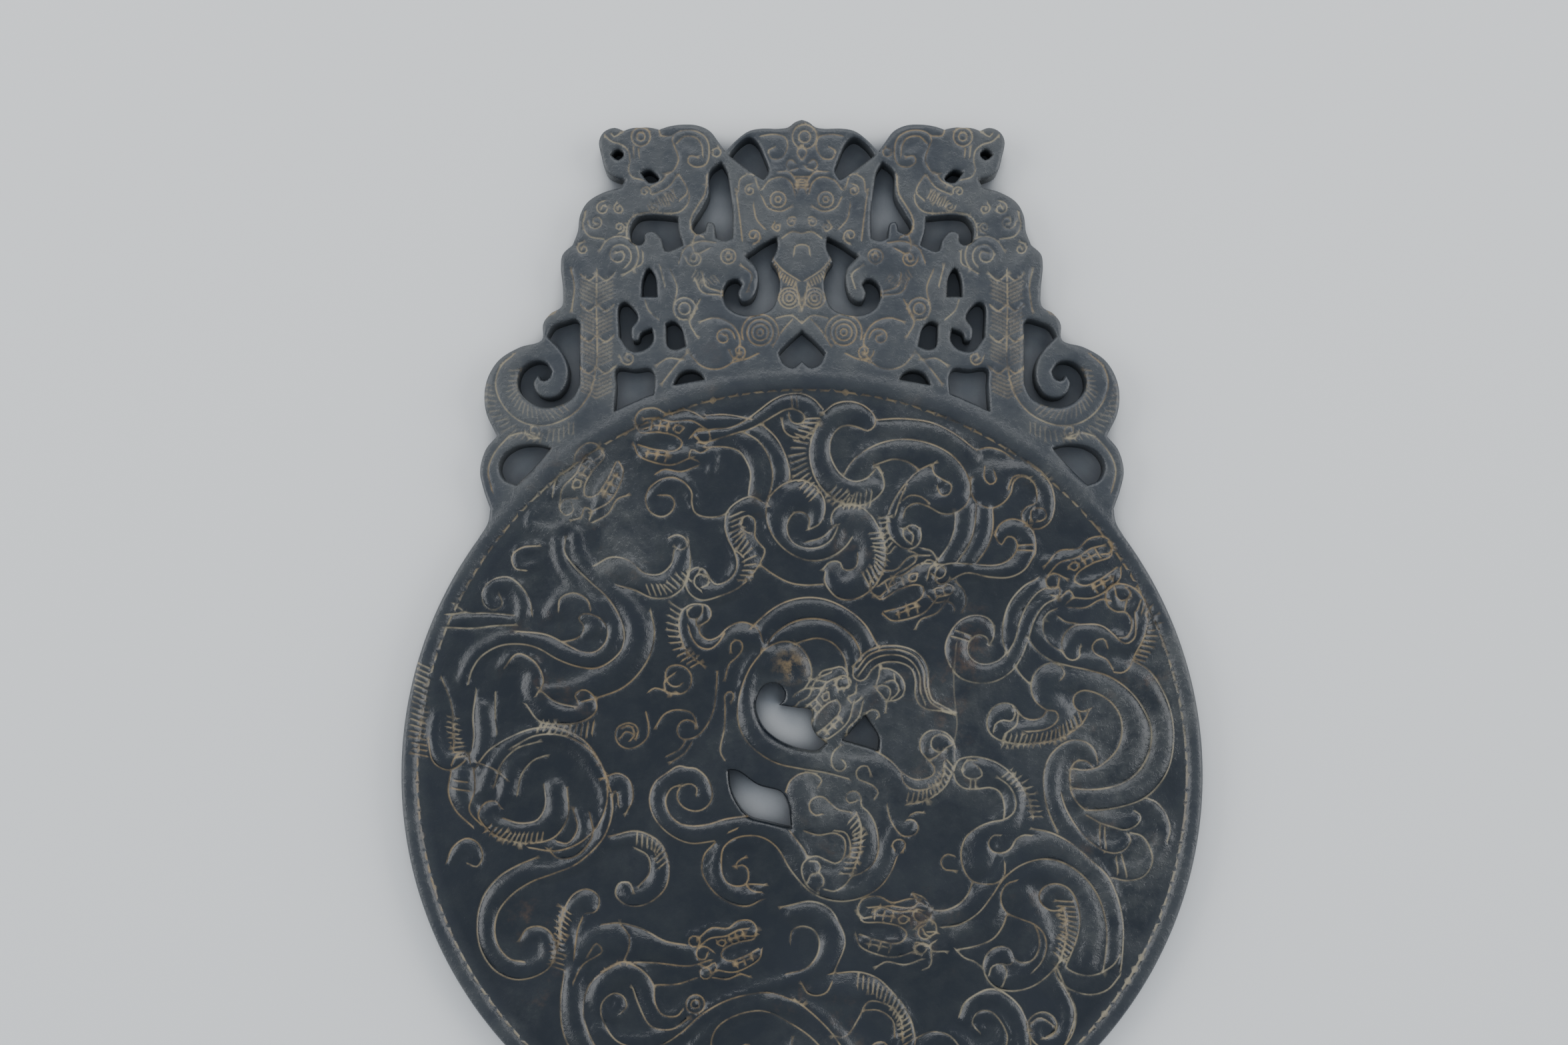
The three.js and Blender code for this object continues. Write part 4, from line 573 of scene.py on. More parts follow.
TOP_DRAGON = [
    [(-27, 84.2), (-25, 82.8), (-21, 83.6), (-16.4, 85), (-13, 86), (-9.6, 87.8), (-6.6, 89.6),
     (-3.8, 91), (-1.2, 90.8), (0.6, 89.4), (0.2, 87.8), (-1.2, 87.4), (-2.8, 88.2), (-3.3, 89.6)],
    [(-26, 85.4), (-22, 86), (-18, 86.4), (-14.4, 88), (-11, 90.6), (-7.6, 93.2), (-4, 94.8), (0, 95),
     (3, 93.6), (5.4, 91)],
    [(-24, 89.5), (-19, 89.7), (-15, 89), (-12.6, 88.4)],
    [(-5, 88), (-4.4, 85.6), (-2.4, 84.1), (0.6, 84), (2.6, 85.4), (4.2, 87.6)],
    [(-2.6, 94), (-2.4, 91.6)], [(-1.4, 94), (-1.2, 91.8)], [(0.8, 88.6), (4.4, 88.7)],
    [(0.6, 87.6), (4.2, 87.5)],
    [(-14.6, 85.2), (-11, 83), (-8.6, 79.6), (-7.4, 75.6), (-7.6, 71.6), (-9, 67.6)],
    [(-10, 87.3), (-6.6, 84), (-4.4, 80), (-3.2, 76), (-3, 72.8)],
    [(-24, 81.4), (-20, 81.6), (-16, 80.6), (-14, 78), (-12.9, 75), (-13.4, 69.6)],
    [(-8.4, 66.6), (-10.4, 68), (-13, 69), (-16, 67.8), (-18.6, 65.4), (-19.3, 62), (-18.6, 58.6),
     (-17, 55.4), (-16.2, 52), (-17, 49.4), (-19, 47.6), (-21.6, 47), (-23, 48.4), (-24.4, 50.6),
     (-26.4, 51.2), (-28.4, 49.8), (-29.1, 47), (-27.8, 44.4), (-25, 43), (-20, 44.2), (-16, 46),
     (-13, 48.8), (-10.6, 52.2), (-9.3, 55.6), (-10.4, 57), (-11.8, 59), (-11.7, 61.4), (-12, 63.4),
     (-13.8, 64.2), (-15.2, 62.8), (-15, 61), (-13.7, 60)],
    [(-18.4, 65.1), (-21, 64), (-24.6, 64), (-26.8, 65), (-27.6, 67.4), (-27.6, 70), (-29.6, 72.6),
     (-32.4, 73.8), (-35.6, 73.2), (-38.4, 71), (-39.2, 67.8), (-37.8, 65), (-35, 64), (-32.8, 65.2),
     (-31.9, 67.4), (-33, 69.2), (-35.6, 69.4)],
    [(-17, 55.4), (-15.8, 54.9), (-14.8, 53.8)],
    [(-25.2, 45.3), (-26.9, 47), (-26.6, 48.9), (-25, 49.5), (-23.6, 48.6), (-23.6, 47), (-25, 46.2)],
    [(-24.2, 50.2), (-24.6, 49.2)], [(-25.4, 50.8), (-26, 49.6)],
    [(12.6, 58.8), (11.2, 56.8), (8.6, 54.6), (4.4, 53), (0.6, 53.2), (-3, 54.8), (-6, 57.4),
     (-8, 60.6), (-9, 64.6), (-8.6, 67.6), (-6.8, 70.4), (-3.6, 72.6), (0, 73.2), (3.6, 71.4),
     (5.6, 68), (5.5, 64.4), (4.2, 62), (1.7, 60.8)],
    [(1.6, 61), (1.9, 63.4), (0.4, 65), (-1.8, 65), (-3.4, 63), (-3.6, 60), (-2.4, 57.6), (0.4, 56.2),
     (4, 56.2), (7, 57.8), (8.4, 60), (9.2, 62)],
    [(7.6, 61.2), (7.3, 63.6), (8.4, 66), (11, 67.1), (14, 66.8), (17, 64.6), (19, 61.6), (20.4, 58),
     (21, 54), (20.2, 50), (18, 46.4), (15, 44), (12, 43.1), (9, 43.6), (7, 45.4), (5.6, 48),
     (5.9, 50)],
    [(5.4, 51), (7, 52.6), (9.4, 52.6), (10.4, 50.8), (12.6, 50.7), (13.8, 52), (14, 54.6)],
    [(-10.6, 52), (-7, 49.4), (-3, 47.4), (1, 46.8), (5, 47)],
]
TOP_RIGHT_DRAGON = [
    [(5.6, 90.4), (8.2, 92.4), (12, 93), (15.8, 91.8), (18.2, 89.2), (18.2, 86.8), (16.6, 85.6),
     (14.4, 86.4), (11.6, 87), (9.2, 86.2), (7.4, 83.8), (7, 80.4), (8.2, 76.8), (10.4, 74),
     (13.4, 72.8), (16.4, 73.8), (18, 75.4)],
    [(4.2, 87.4), (2.6, 84), (1.9, 80), (2.8, 75), (5.4, 70.6), (9.4, 67.8), (14, 66.8), (18, 68.2),
     (20.6, 71.4), (20, 74.8), (19, 76.2)],
    [(18.4, 88.3), (23, 88.7), (28, 88.5), (33, 87.5), (38.6, 84.6), (43.8, 80.6)],
    [(10.4, 74.4), (12.6, 77.8), (16.6, 81), (21.6, 83), (27, 83.4), (33, 82), (37.6, 79.4),
     (40.8, 75.6), (42.3, 71.2), (41.4, 67.4), (38.6, 65), (35, 64.8), (31.8, 66.4), (28.8, 67.4),
     (26.2, 66.2), (25.4, 64.2)],
    [(17.8, 76.8), (20, 77.6), (23, 78.4), (26.4, 77.8), (29.4, 75.9)],
    [(17.8, 76.8), (19.6, 76), (20.2, 74.4)],
    [(33.2, 77.4), (29.6, 75.8), (26.4, 72.8), (23.4, 68.6), (21.6, 64.6), (21.4, 61.2), (22.8, 58.2),
     (25.8, 56), (28.4, 56.4), (29.8, 58.4), (29.4, 61), (27.4, 61.9), (25.4, 60.4), (25.6, 58.6),
     (27.2, 57.2)],
    [(26.4, 72), (24.6, 68.4), (23.4, 64.6)],
    [(25, 61), (26.6, 60.6), (27.9, 59.2), (27.6, 57.4)],
    [(24.6, 67.4), (27, 69.2), (29.6, 69), (32, 67.2)],
    [(32.6, 77), (33.2, 74.6), (35.4, 73.2), (37.4, 71.8), (36.8, 69.6), (35, 69.3), (33.9, 71.4)],
    [(43.8, 80.6), (46.6, 81.4), (50, 80.6), (53, 78.6)],
    [(42.4, 73.4), (42.3, 70.6), (43.8, 67.6), (47, 66.1), (50.4, 67.4), (52.4, 70), (53, 72.6),
     (55, 74), (57.8, 72.8), (58.9, 70), (58.6, 67.4), (56.4, 66.4), (55, 64.6), (56.4, 61.8),
     (59.2, 60.9), (62, 62.6), (63.3, 66.6), (62.6, 71.4), (60.2, 75), (56.6, 77.8)],
    [(51.8, 71.4), (53, 74), (56, 74.2), (57.9, 72.6)],
    [(57.3, 63.6), (57.4, 65.4), (59, 66.2), (60.8, 65.6), (61, 63.6), (59.6, 62.8)],
    [(45.8, 76.4), (45.7, 73.4), (47.2, 72), (48.6, 73), (48.2, 75)],
    [(38.4, 65), (38.2, 61), (36.8, 57), (34, 53)],
    [(43.7, 67.4), (43.3, 62), (41.8, 57), (39, 52.8)],
    [(47.8, 66.2), (47.9, 61.6), (46.8, 57), (43.6, 52.2)],
    [(58.4, 54.8), (55.6, 50.6), (52, 48.8), (47, 48.8), (41, 49.8), (36.8, 47.8), (34.6, 47),
     (33.2, 48.6), (34.2, 51.2), (37, 52.2), (43, 52), (49, 51.9), (52.4, 53.6), (54, 56.4),
     (53.2, 58.6), (51.4, 58.9), (50, 57), (48.5, 59.2), (49.6, 62), (52.4, 63.4), (55.6, 62.6),
     (58, 60), (58.5, 56.6), (58.4, 54.8)],
    [(54.6, 56.8), (57.6, 56.9)], [(54.2, 55.6), (57.4, 55.4)],
    [(35.4, 46.6), (35.4, 45), (36.8, 44.4), (37.9, 45.6), (37.4, 46.8), (36, 47)],
    [(30, 52), (31.6, 53.2), (33.2, 52.6), (33.6, 51.2)],
    [(26.6, 55.4), (28.4, 54.8), (28.6, 53), (26.4, 51.2), (23.4, 49.4), (21.9, 47)],
    [(30.4, 56), (32.4, 55.4), (34, 53.2)],
    [(31.6, 44), (33.4, 42.4), (36, 42.7), (37.8, 42), (38.2, 40.6)],
    [(38.8, 47.4), (40.6, 45.2), (41, 42), (40.2, 40.4)],
]
RIGHT_DRAGON = [
    [(48.2, 36.6), (46.4, 38.6), (43.4, 39.3), (40, 38.2), (37.2, 35.2), (35.8, 31), (36.8, 27),
     (39.6, 23.6), (44, 22.3), (48.4, 22.8), (52, 25), (54.6, 28.4), (56.6, 33.4), (58, 38),
     (60.6, 41.8), (64.2, 44), (64.6, 46), (63.4, 46.4), (59.6, 45.4), (56.4, 41.8), (54.4, 37.4),
     (53.2, 33), (51.4, 29.8)],
    [(46.8, 31.6), (46.2, 33.6), (44, 34.3), (42, 32.8), (41.6, 30), (43, 27.8), (46, 27), (49.2, 28),
     (51.2, 29.8)],
    [(46.8, 31.6), (47.8, 33.6), (48.2, 36.6)],
    [(38.4, 35.4), (42.2, 34.1)], [(37.2, 34), (41.6, 32.8)],
    [(51.2, 29.8), (50.2, 33), (50.4, 37.6), (52, 42.4), (55.4, 46.4), (58.8, 48.4)],
    [(56.4, 33.6), (59, 30.2), (62.6, 27.8), (66.6, 26.6), (72, 25.4), (77, 23.8), (81.8, 20.4),
     (85.2, 16), (87.2, 10.6), (86.6, 5), (84, 0.4), (80, -2.6), (75, -4), (70, -4.2), (67, -3.8)],
    [(82.6, 28), (86.6, 25.6), (90, 20.8), (92.2, 14.6), (92.7, 8), (91.4, 1), (88.6, -3.6), (85, -6.6),
     (80, -8.4), (75, -9.3), (70.6, -9.4)],
    [(72, 15.8), (69.6, 15.2), (68, 16.6), (68, 19), (70, 20.4), (73.4, 19.8), (77, 17.6), (79.4, 14),
     (79.9, 10), (78.8, 6), (76.4, 3.2), (73.4, 1.2), (70, 0.6), (67.2, 0.8), (66.7, -1.8)],
    [(53.2, 26.6), (54.8, 24.2), (57, 22)],
    [(64.6, 23.2), (65.5, 24.6), (64.8, 26.4), (62.4, 27.3), (59.8, 26.4), (57.8, 24), (57.3, 20.6),
     (58.4, 17.6), (61, 15.6), (63.2, 15.2), (63.9, 13.6), (62.6, 11.8), (60, 10.6), (56, 10.2)],
    [(61, 15.4), (60, 13.8), (57.6, 13.1), (55.2, 13.8), (54, 15.2), (52.6, 16.8), (50.2, 17.3),
     (47.6, 16), (46.2, 13), (46.8, 10), (49, 8.2), (53, 7.2), (58, 7.2), (63, 8), (67.6, 10.2),
     (70.4, 12.8), (71.8, 15.6)],
    [(52.6, 16.4), (53.2, 14.8), (52.4, 12.9), (50, 13), (48.2, 12), (47.8, 10.2)],
    [(54, 14.6), (53.6, 12), (52, 10.6), (50.4, 9.4), (50.2, 8)],
    [(69.4, 31), (69.3, 29), (67.8, 28), (66, 28.6), (65, 31), (65.4, 34), (67.6, 36.4), (71, 37),
     (75, 36.6), (77.6, 34.6), (79.6, 32.6), (81.2, 32.2), (83, 33.6), (83.4, 36.6), (83.3, 40)],
    [(79.2, 33.6), (81, 33.8), (82.3, 35.6), (82.4, 38.2), (81, 40), (78.6, 40.2), (76.6, 41.6),
     (76, 44), (77, 46.4), (80, 47.1), (83, 46), (85.6, 43), (86.3, 38.6), (85.4, 33.8), (83.4, 29.8),
     (82, 26.6), (80, 24.9), (77.8, 25)],
    [(78.3, 45.6), (78.6, 44), (80, 42.9), (81.6, 43.6), (82, 45.2), (80.8, 46.2)],
    [(80.8, 40.4), (81.2, 42.4), (82.2, 44.6)],
    [(76.3, 31.2), (75.4, 33.2), (73.6, 33), (72.5, 31.4), (73.4, 29.6), (76, 28.2), (77.6, 25.6)],
    [(60.4, 38.2), (61.8, 40), (63.6, 40.8)],
    [(60.4, 38.2), (60.4, 35), (61.8, 32.2), (64.8, 30.2)],
    [(64.2, 38.8), (66, 37.6), (68.6, 37.2)],
    [(73.6, 3), (73, 5.4), (71, 7.4), (68, 8.1), (64.8, 7), (61.8, 4), (60.4, 0), (60.4, -5),
     (61.6, -10.2), (63.6, -14.6)],
    [(67, 0.9), (68.2, 2.6), (70, 3), (71.6, 2.4), (72.4, 1.4)],
    [(66.9, -1.6), (67, -4.4), (68.4, -7.4), (70.6, -9.4)],
    [(64.7, -5.4), (65.6, -8.6), (68, -13), (71, -16.6), (74.6, -19.2), (78, -20), (80.8, -18.8),
     (81.8, -16.6), (81, -15.2)],
    [(70.8, -10.6), (74, -12.4), (77.6, -13.6), (80.6, -14.3), (83.4, -13), (84.4, -10.8), (82.8, -9.5)],
    [(74.2, -13), (74.2, -18.8)], [(75.4, -13.6), (75.6, -19.6)],
    [(86, -6.4), (88.6, -7.6), (90.8, -10.6), (91.6, -14.4), (90.8, -17)],
    [(81.8, -15), (84.6, -15.8), (86.6, -18.6), (87, -22.4), (85, -25.8), (81, -26.9), (77.4, -26.2)],
    [(78.2, -21), (78.6, -25)], [(79.6, -20.4), (80.8, -26)],
]
LOWER_RIGHT_DRAGON = [
    [(57.4, -14), (62, -15), (67, -17.6), (71.6, -21.6), (76, -25.8), (78.6, -31.6), (79.8, -38),
     (79.7, -44), (79.2, -49)],
    [(34.8, -38.5), (39, -37.8), (43.8, -34.8), (47, -30.8), (50.2, -26.2), (54.4, -23), (60, -21.5),
     (65.4, -22.6), (70.6, -26.4), (74, -31.6), (75.6, -38), (75.6, -43.6), (74.8, -49.6)],
    [(50.4, -22.6), (50.2, -25.4), (48.6, -27.2), (45.4, -27.7), (42.4, -27), (40.4, -24.4),
     (39.6, -20), (40.8, -16.2), (43.6, -13.8), (47, -12.3), (50.4, -11.6), (52.8, -9.6), (53.1, -6.4),
     (51.4, -3.2), (49, -1.4)],
    [(50.2, -11.4), (50.4, -8.4), (49.4, -5), (47.2, -3.8), (43.6, -4.1), (40.4, -3.9), (38.4, -2.2),
     (37.9, 0.6), (39, 3), (42, 3.9), (46, 3.4), (50, 1.6), (53.6, -2), (56.4, -6.4), (57.6, -11.4)],
    [(39.8, 0.6), (41, 2.8), (43.4, 3)],
    [(39.8, 0.8), (40.4, -0.8), (42.6, -1.6), (44.8, -0.8), (44.4, 0.8), (42.6, 2.4)],
    [(42, -1.6), (42, -3.8)], [(43.2, -1.6), (43.3, -3.8)],
    [(49.4, -15.6), (47.6, -15.6), (46.3, -17.6), (47.4, -19.6), (50, -20), (52, -18.8), (53.4, -16.6),
     (55.4, -15.6), (57.2, -15.7)],
    [(42.4, -27.4), (41.2, -30.4), (38.6, -33), (35, -34.3), (32, -34.1)],
    [(53.2, -26.8), (51, -27.6), (49.5, -30), (49.6, -32.8), (51.2, -35), (54.4, -36.4), (57.6, -37.6),
     (60, -40), (60.6, -43.4), (59.4, -47), (57, -49.6)],
    [(57.8, -38), (58.8, -40.6), (58.8, -43.6), (57.2, -46.4), (54.6, -47.2), (52.8, -46.2),
     (51.8, -44), (49.6, -43.2), (46.8, -44.2), (45.2, -46.8), (45.4, -50), (47.6, -53), (51.6, -54.2),
     (56.4, -53.4), (60.4, -51), (63, -48.2), (64.6, -45), (65.5, -41), (65.6, -37), (65, -33.4)],
    [(46.4, -50.2), (47, -48.2), (49, -47.4), (51.4, -47.7), (52.8, -46.2)],
    [(49.9, -47.8), (50.9, -49.4), (50.4, -51), (49.8, -52.6)],
    [(51, -35), (50, -38), (47.6, -41.2), (43.6, -43), (38.6, -44)],
    [(38.4, -44.2), (40.4, -46), (43, -47), (45.2, -49)],
    [(64.9, -33.4), (64, -34.2), (61.6, -34.2), (59.4, -32.4), (59, -30.4), (60.4, -28.4), (63, -27.6),
     (66, -28.6), (68.2, -31.8), (69, -37), (68, -42), (66.2, -46.6), (65.6, -48.2), (68, -49.8),
     (71.6, -50.4), (75, -49.4), (77.6, -47.2), (79, -45)],
    [(65.8, -46.2), (64, -46.8), (63, -48.6), (63.2, -50.4), (64.8, -52.6), (68, -54.4), (72, -55.1),
     (76, -53.8), (79, -50.4)],
    [(64.4, -52.6), (66.6, -55.4), (68, -59.4), (67.4, -64), (65, -67.6), (62, -68.6), (58.8, -67.8),
     (56.6, -65.4), (56, -62.4), (57.2, -60.4), (60, -59.4), (62.4, -60.6), (63.3, -63), (62.2, -65),
     (60.2, -65.8)],
    [(27.2, -30), (28.8, -30.4), (30.6, -31.4), (32, -33.8), (31.9, -36), (30.4, -37.3), (28.4, -36.8),
     (27.6, -35), (28.6, -33.9), (29.8, -34.2)],
    [(27.2, -30), (28.8, -31.8), (28, -33.2), (26, -33.6), (21, -33.2), (17.4, -34.6)],
    [(30.8, -37.8), (29.2, -38.6), (29, -40.4), (30.4, -41.4), (31.8, -41)],
    [(31.2, -39.6), (33.4, -39.5)],
    [(35.4, -44.4), (32.6, -44.3), (31.4, -43), (30, -42.2), (28.4, -43), (28, -44.6), (29.4, -45.3),
     (30.7, -44.2)],
    [(32, -44.4), (32.2, -46.6), (31.6, -48.2), (30, -49)],
]
UPPER_LEFT_DRAGON = [
    [(-59.3, 58.5), (-59.4, 55), (-57, 51.5), (-53, 47.6), (-49, 44), (-46, 39.6), (-44.5, 35),
     (-45, 31), (-47.5, 28), (-51.5, 26), (-56, 26.4), (-61, 28.2), (-66, 31), (-70, 32), (-75.4, 31.6),
     (-80, 29), (-82.4, 25.6), (-83.5, 22)],
    [(-59.5, 32.7), (-57, 33.2), (-55, 34.5), (-54.6, 36.6), (-55.8, 38.3), (-55, 39.4), (-53, 39.5),
     (-50, 38), (-48.5, 35), (-49.4, 32), (-52, 30), (-55.4, 30.2), (-59, 32), (-64, 34.4),
     (-71, 35.2)],
    [(-37.8, 40), (-36.9, 35), (-38, 29.4), (-41, 24.5), (-45, 21), (-50, 19), (-55, 17.6)],
    [(-60.8, 40.4), (-60.4, 43.4), (-57, 44.8), (-53.6, 43), (-52.8, 40.6)],
    [(-52, 51.6), (-48, 53.8), (-43.4, 53), (-39.4, 49.8), (-35.6, 49.6), (-32.8, 52), (-32, 55.6)],
    [(-46.4, 46.8), (-42, 45.6), (-37.4, 43.6), (-32.6, 44), (-28.9, 47.6), (-28, 52.6), (-28.4, 58)],
    [(-33.4, 58.6), (-31.4, 59.4), (-29.4, 58.6), (-28.8, 56.6), (-30.4, 55.6), (-31.8, 56.4)],
    [(-67.6, 39.6), (-68, 42.6), (-70.2, 46.4), (-73.6, 48.8), (-77.6, 48), (-80, 45), (-79.4, 41.6),
     (-76.8, 40.6), (-75, 42), (-75.6, 44)],
    [(-72, 36.8), (-77, 36.6), (-82, 36), (-89, 36.2)],
    [(-72, 39.2), (-78, 39.8), (-84, 40), (-87, 42.2)],
    [(-84, 40), (-88.6, 39.4)],
    [(-74.4, 26), (-71, 29.6), (-66.4, 27.2), (-64.6, 22.6), (-66.4, 19)],
    [(-69, 50.4), (-71.8, 51), (-72.6, 54), (-70, 56.2), (-66, 56.6)],
]
LEFT_DRAGON = [
    [(-81.5, 1), (-78, 5.6), (-73, 8.7), (-67.6, 10.8), (-62, 11.2), (-57, 9.6), (-53, 6.5),
     (-49, -0.4), (-47.2, -8), (-48, -13), (-50, -17), (-56, -22.6), (-61.6, -25), (-67, -27),
     (-72, -30.2), (-75.5, -34.5), (-76.4, -39), (-75.5, -43), (-72.6, -46.2), (-69, -47)],
    [(-66.5, -21.3), (-71, -23.2), (-75.5, -26), (-79.4, -31), (-80.8, -37), (-80, -43.6), (-76.5, -49),
     (-71.5, -51.3), (-66.4, -50.6), (-62.5, -48), (-61.3, -44), (-62.4, -40), (-65, -38.3),
     (-68.4, -38.8), (-70.3, -41.5)],
    arc(-63, -5, 14.6, 130, -110),
    [(-76.6, -3), (-75, 2), (-71, 6), (-66, 7.6)],
    [(-71, -5.4), (-70, -0.6), (-67, 3), (-64, 4.2)],
    [(-64.4, -3), (-64, -8), (-66, -11.8), (-70.4, -12.6), (-74.6, -11.4)],
    [(-58.6, -4), (-58.4, -11), (-61.6, -16), (-67, -17.6), (-73, -17), (-78, -14.6), (-80.6, -10.4),
     (-79, -7.6), (-76.4, -7.2), (-74.8, -9)],
    [(-81.4, 20.4), (-82.2, 14), (-82, 8), (-83.6, 3.4), (-88, 0.6), (-92, 2.6), (-93.2, 8)],
    [(-76.6, 20), (-76.6, 14), (-76.2, 9.6)],
    [(-87.4, 1.8), (-86, 4.4), (-83.6, 4.8), (-82.8, 2.6)],
    [(-82, 1), (-81.6, -4), (-82.8, -9.4), (-80, -13)],
    [(-87.6, 0), (-88.2, -5), (-86.4, -9.4), (-82, -13.6)],
    [(-81, 2.4), (-77, 1), (-73.6, -1.6)], [(-86.6, -2), (-83.4, -2.4)], [(-86.8, -4), (-83, -4.6)],
    [(-57, -9.4), (-56, -14), (-58.4, -17.6), (-61, -17.2)],
    [(-53, -10), (-52.2, -15.6), (-56, -20.6), (-60.6, -21.4), (-63.4, -19)],
    [(-90, 23.4), (-87.6, 17), (-87, 10.4), (-87, 5.4)],
    [(-69, 17), (-65.6, 12.8), (-60, 12), (-54.6, 12.8), (-51.4, 15.4), (-52, 19), (-54.4, 20.6),
     (-56.6, 19.4), (-56, 17.4)],
    [(-66, 21.2), (-61.6, 17.6), (-57, 16.4)],
    [(-88.4, -22), (-87, -18.6), (-83.5, -16.4), (-80.6, -17.8), (-79.6, -21), (-81, -23.4),
     (-83.4, -22.6)],
    [(-49.6, -1.4), (-46, -0.2), (-43, -2), (-42.2, -6.4), (-43.8, -10)],
    [(-47.6, -6), (-46.2, -4.6), (-45.8, -8)],
    [(-47.6, -15.8), (-41, -14.6), (-35.4, -17.4), (-33.2, -22.4), (-34, -28.6), (-38.6, -32.6),
     (-43.5, -33), (-46.4, -30.4), (-45.6, -27.6), (-43, -27.4), (-42, -29.4)],
    [(-41.6, -18.8), (-38.4, -20.8), (-38, -25), (-40.6, -28.2)],
    [(-32, 24.6), (-34.4, 22.6), (-33.6, 19.8), (-31, 19.8)],
    [(-45, 11), (-43, 11.6), (-41.8, 9.6), (-43, 7.8)],
]
LOWER_LEFT_DRAGON = [
    [(-50, -37.8), (-45.5, -37.4), (-40, -38.8), (-34, -41.8), (-29, -42.8)],
    [(-44.3, -47), (-36, -47.3), (-28, -48), (-23, -46.6)],
    [(-45.5, -37.4), (-43, -40.5), (-43, -43.5), (-44.3, -46.8)],
    arc(-26.8, -41.9, 1.4), arc(-24, -49.8, 1.4),
    [(-50, -49.5), (-45, -47), (-40, -48.8), (-37, -52.5), (-36.5, -57), (-34.5, -60), (-31, -60.2),
     (-29.5, -58.5)],
    arc(-26.5, -57.4, 2.3), arc(-26.5, -57.4, 1.1),
    [(-36.7, -52.7), (-31, -52.5), (-26.3, -51)],
    [(-45.2, -59.8), (-43.6, -58), (-44.5, -55.5), (-47, -54.8), (-49.6, -57), (-49.6, -61),
     (-46, -66.3), (-41, -68), (-35, -67.5), (-30, -64.4), (-25.3, -60.2), (-20, -57), (-15, -55.3),
     (-8, -54.6), (0, -57.3)],
    [(-59.2, -50), (-60, -57), (-59.4, -64), (-57, -69.5), (-52.4, -75), (-46, -78.8), (-38, -79.6)],
    [(-45, -47), (-49.6, -49.6), (-53, -53), (-54.3, -60), (-50, -69.5), (-44, -73), (-36, -73.6),
     (-29, -71)],
    [(-56.8, -52), (-54.5, -47.7), (-49.6, -44.2), (-51, -42.3), (-53, -45)],
    [(-62.4, -48), (-60.6, -42), (-59.8, -36), (-57, -30.4), (-53.4, -29), (-50.6, -31), (-51.2, -34.4),
     (-53.6, -35)],
    [(-56.6, -46), (-55.8, -39), (-54.6, -36)],
    [(-42, -53.6), (-40.6, -57.6), (-37.4, -63), (-32, -63.4), (-28.6, -61.2)],
]
BOTTOM_DRAGON = [
    [(-5, -33.4), (-3, -33), (2, -32), (6.6, -33.6), (9.5, -38), (10.7, -42), (8, -49.5)],
    [(-3, -42), (-2.4, -39.2), (0, -38.2), (3, -39.2), (4.3, -42), (3.6, -45.6), (1, -48.5), (-4, -50)],
    [(0, -52.5), (1.2, -54.6), (3.5, -55.3), (6, -54.4), (7.4, -52)],
    [(7, -50), (14, -49.5), (18.6, -51), (22, -54), (26, -59), (28, -66), (27, -70.6), (23.4, -74.6),
     (19.6, -74.4), (16.8, -71.2), (17.4, -67.6), (20.4, -66.8), (21.6, -69)],
    [(7.8, -65.2), (11, -65.2), (14, -61), (16.5, -56.8), (20.4, -57.2), (24, -60), (25, -66.5)],
    [(15, -59), (19, -59), (22.5, -61.5), (23, -65.5)],
    [(-2, -56), (3, -60), (7.8, -65), (10.5, -69.5), (12.4, -76), (11, -83), (5.4, -88.4), (-3, -88.6)],
    [(-22.6, -70), (-22.4, -66), (-21, -63), (-17, -60.3), (-10, -59), (-3.2, -62), (3, -66.4),
     (7.8, -73), (8.8, -79.4), (4.6, -83.6), (-2.4, -84.2)],
    [(28, -66), (32, -64.3), (36.4, -65), (39.5, -68.5)],
    [(39, -60.5), (40.5, -57), (46, -53.8), (49.5, -54.3), (54, -58), (56, -63), (56.5, -69.5),
     (52, -77), (46, -82.4), (38.6, -84.6)],
    [(50, -69.5), (50.8, -65), (47, -59.3), (43.6, -59.4), (42.2, -62), (44.2, -64.5)],
    [(56.5, -62.5), (59, -60.8), (63, -63.8), (60.5, -65.5)],
    [(63.2, -48), (66.5, -56), (67.7, -60), (65, -68)],
    [(27.4, -70.6), (26.8, -77), (28.6, -80.4)], [(31.6, -71), (31.4, -77), (29.4, -80.6)],
    [(-17, -72), (-16.4, -69), (-13.4, -67.4), (-11.6, -69.8), (-12.4, -74.4), (-17.4, -77.4),
     (-22.4, -76.4)],
    [(-36, -88), (-28, -86.8), (-18, -85.2), (-9, -80), (-3.6, -72.4), (-2.4, -66)],
    [(-34, -83), (-26, -82.2), (-17, -80), (-10, -75)],
    [(16.4, -88.6), (22, -88.4), (30, -87), (33, -84.2)], [(19, -84), (24, -82.6), (30, -82)],
]
GROUND_CURLS = [
    [(8.6, 62), (5, 58.8), (1, 57.6)],
    [(-45.2, 8.8), (-44, 10.2), (-42.2, 9.6)],
    [(37.6, -24.4), (35.4, -24), (34.6, -22), (36, -20.4), (38, -20.8)],
]

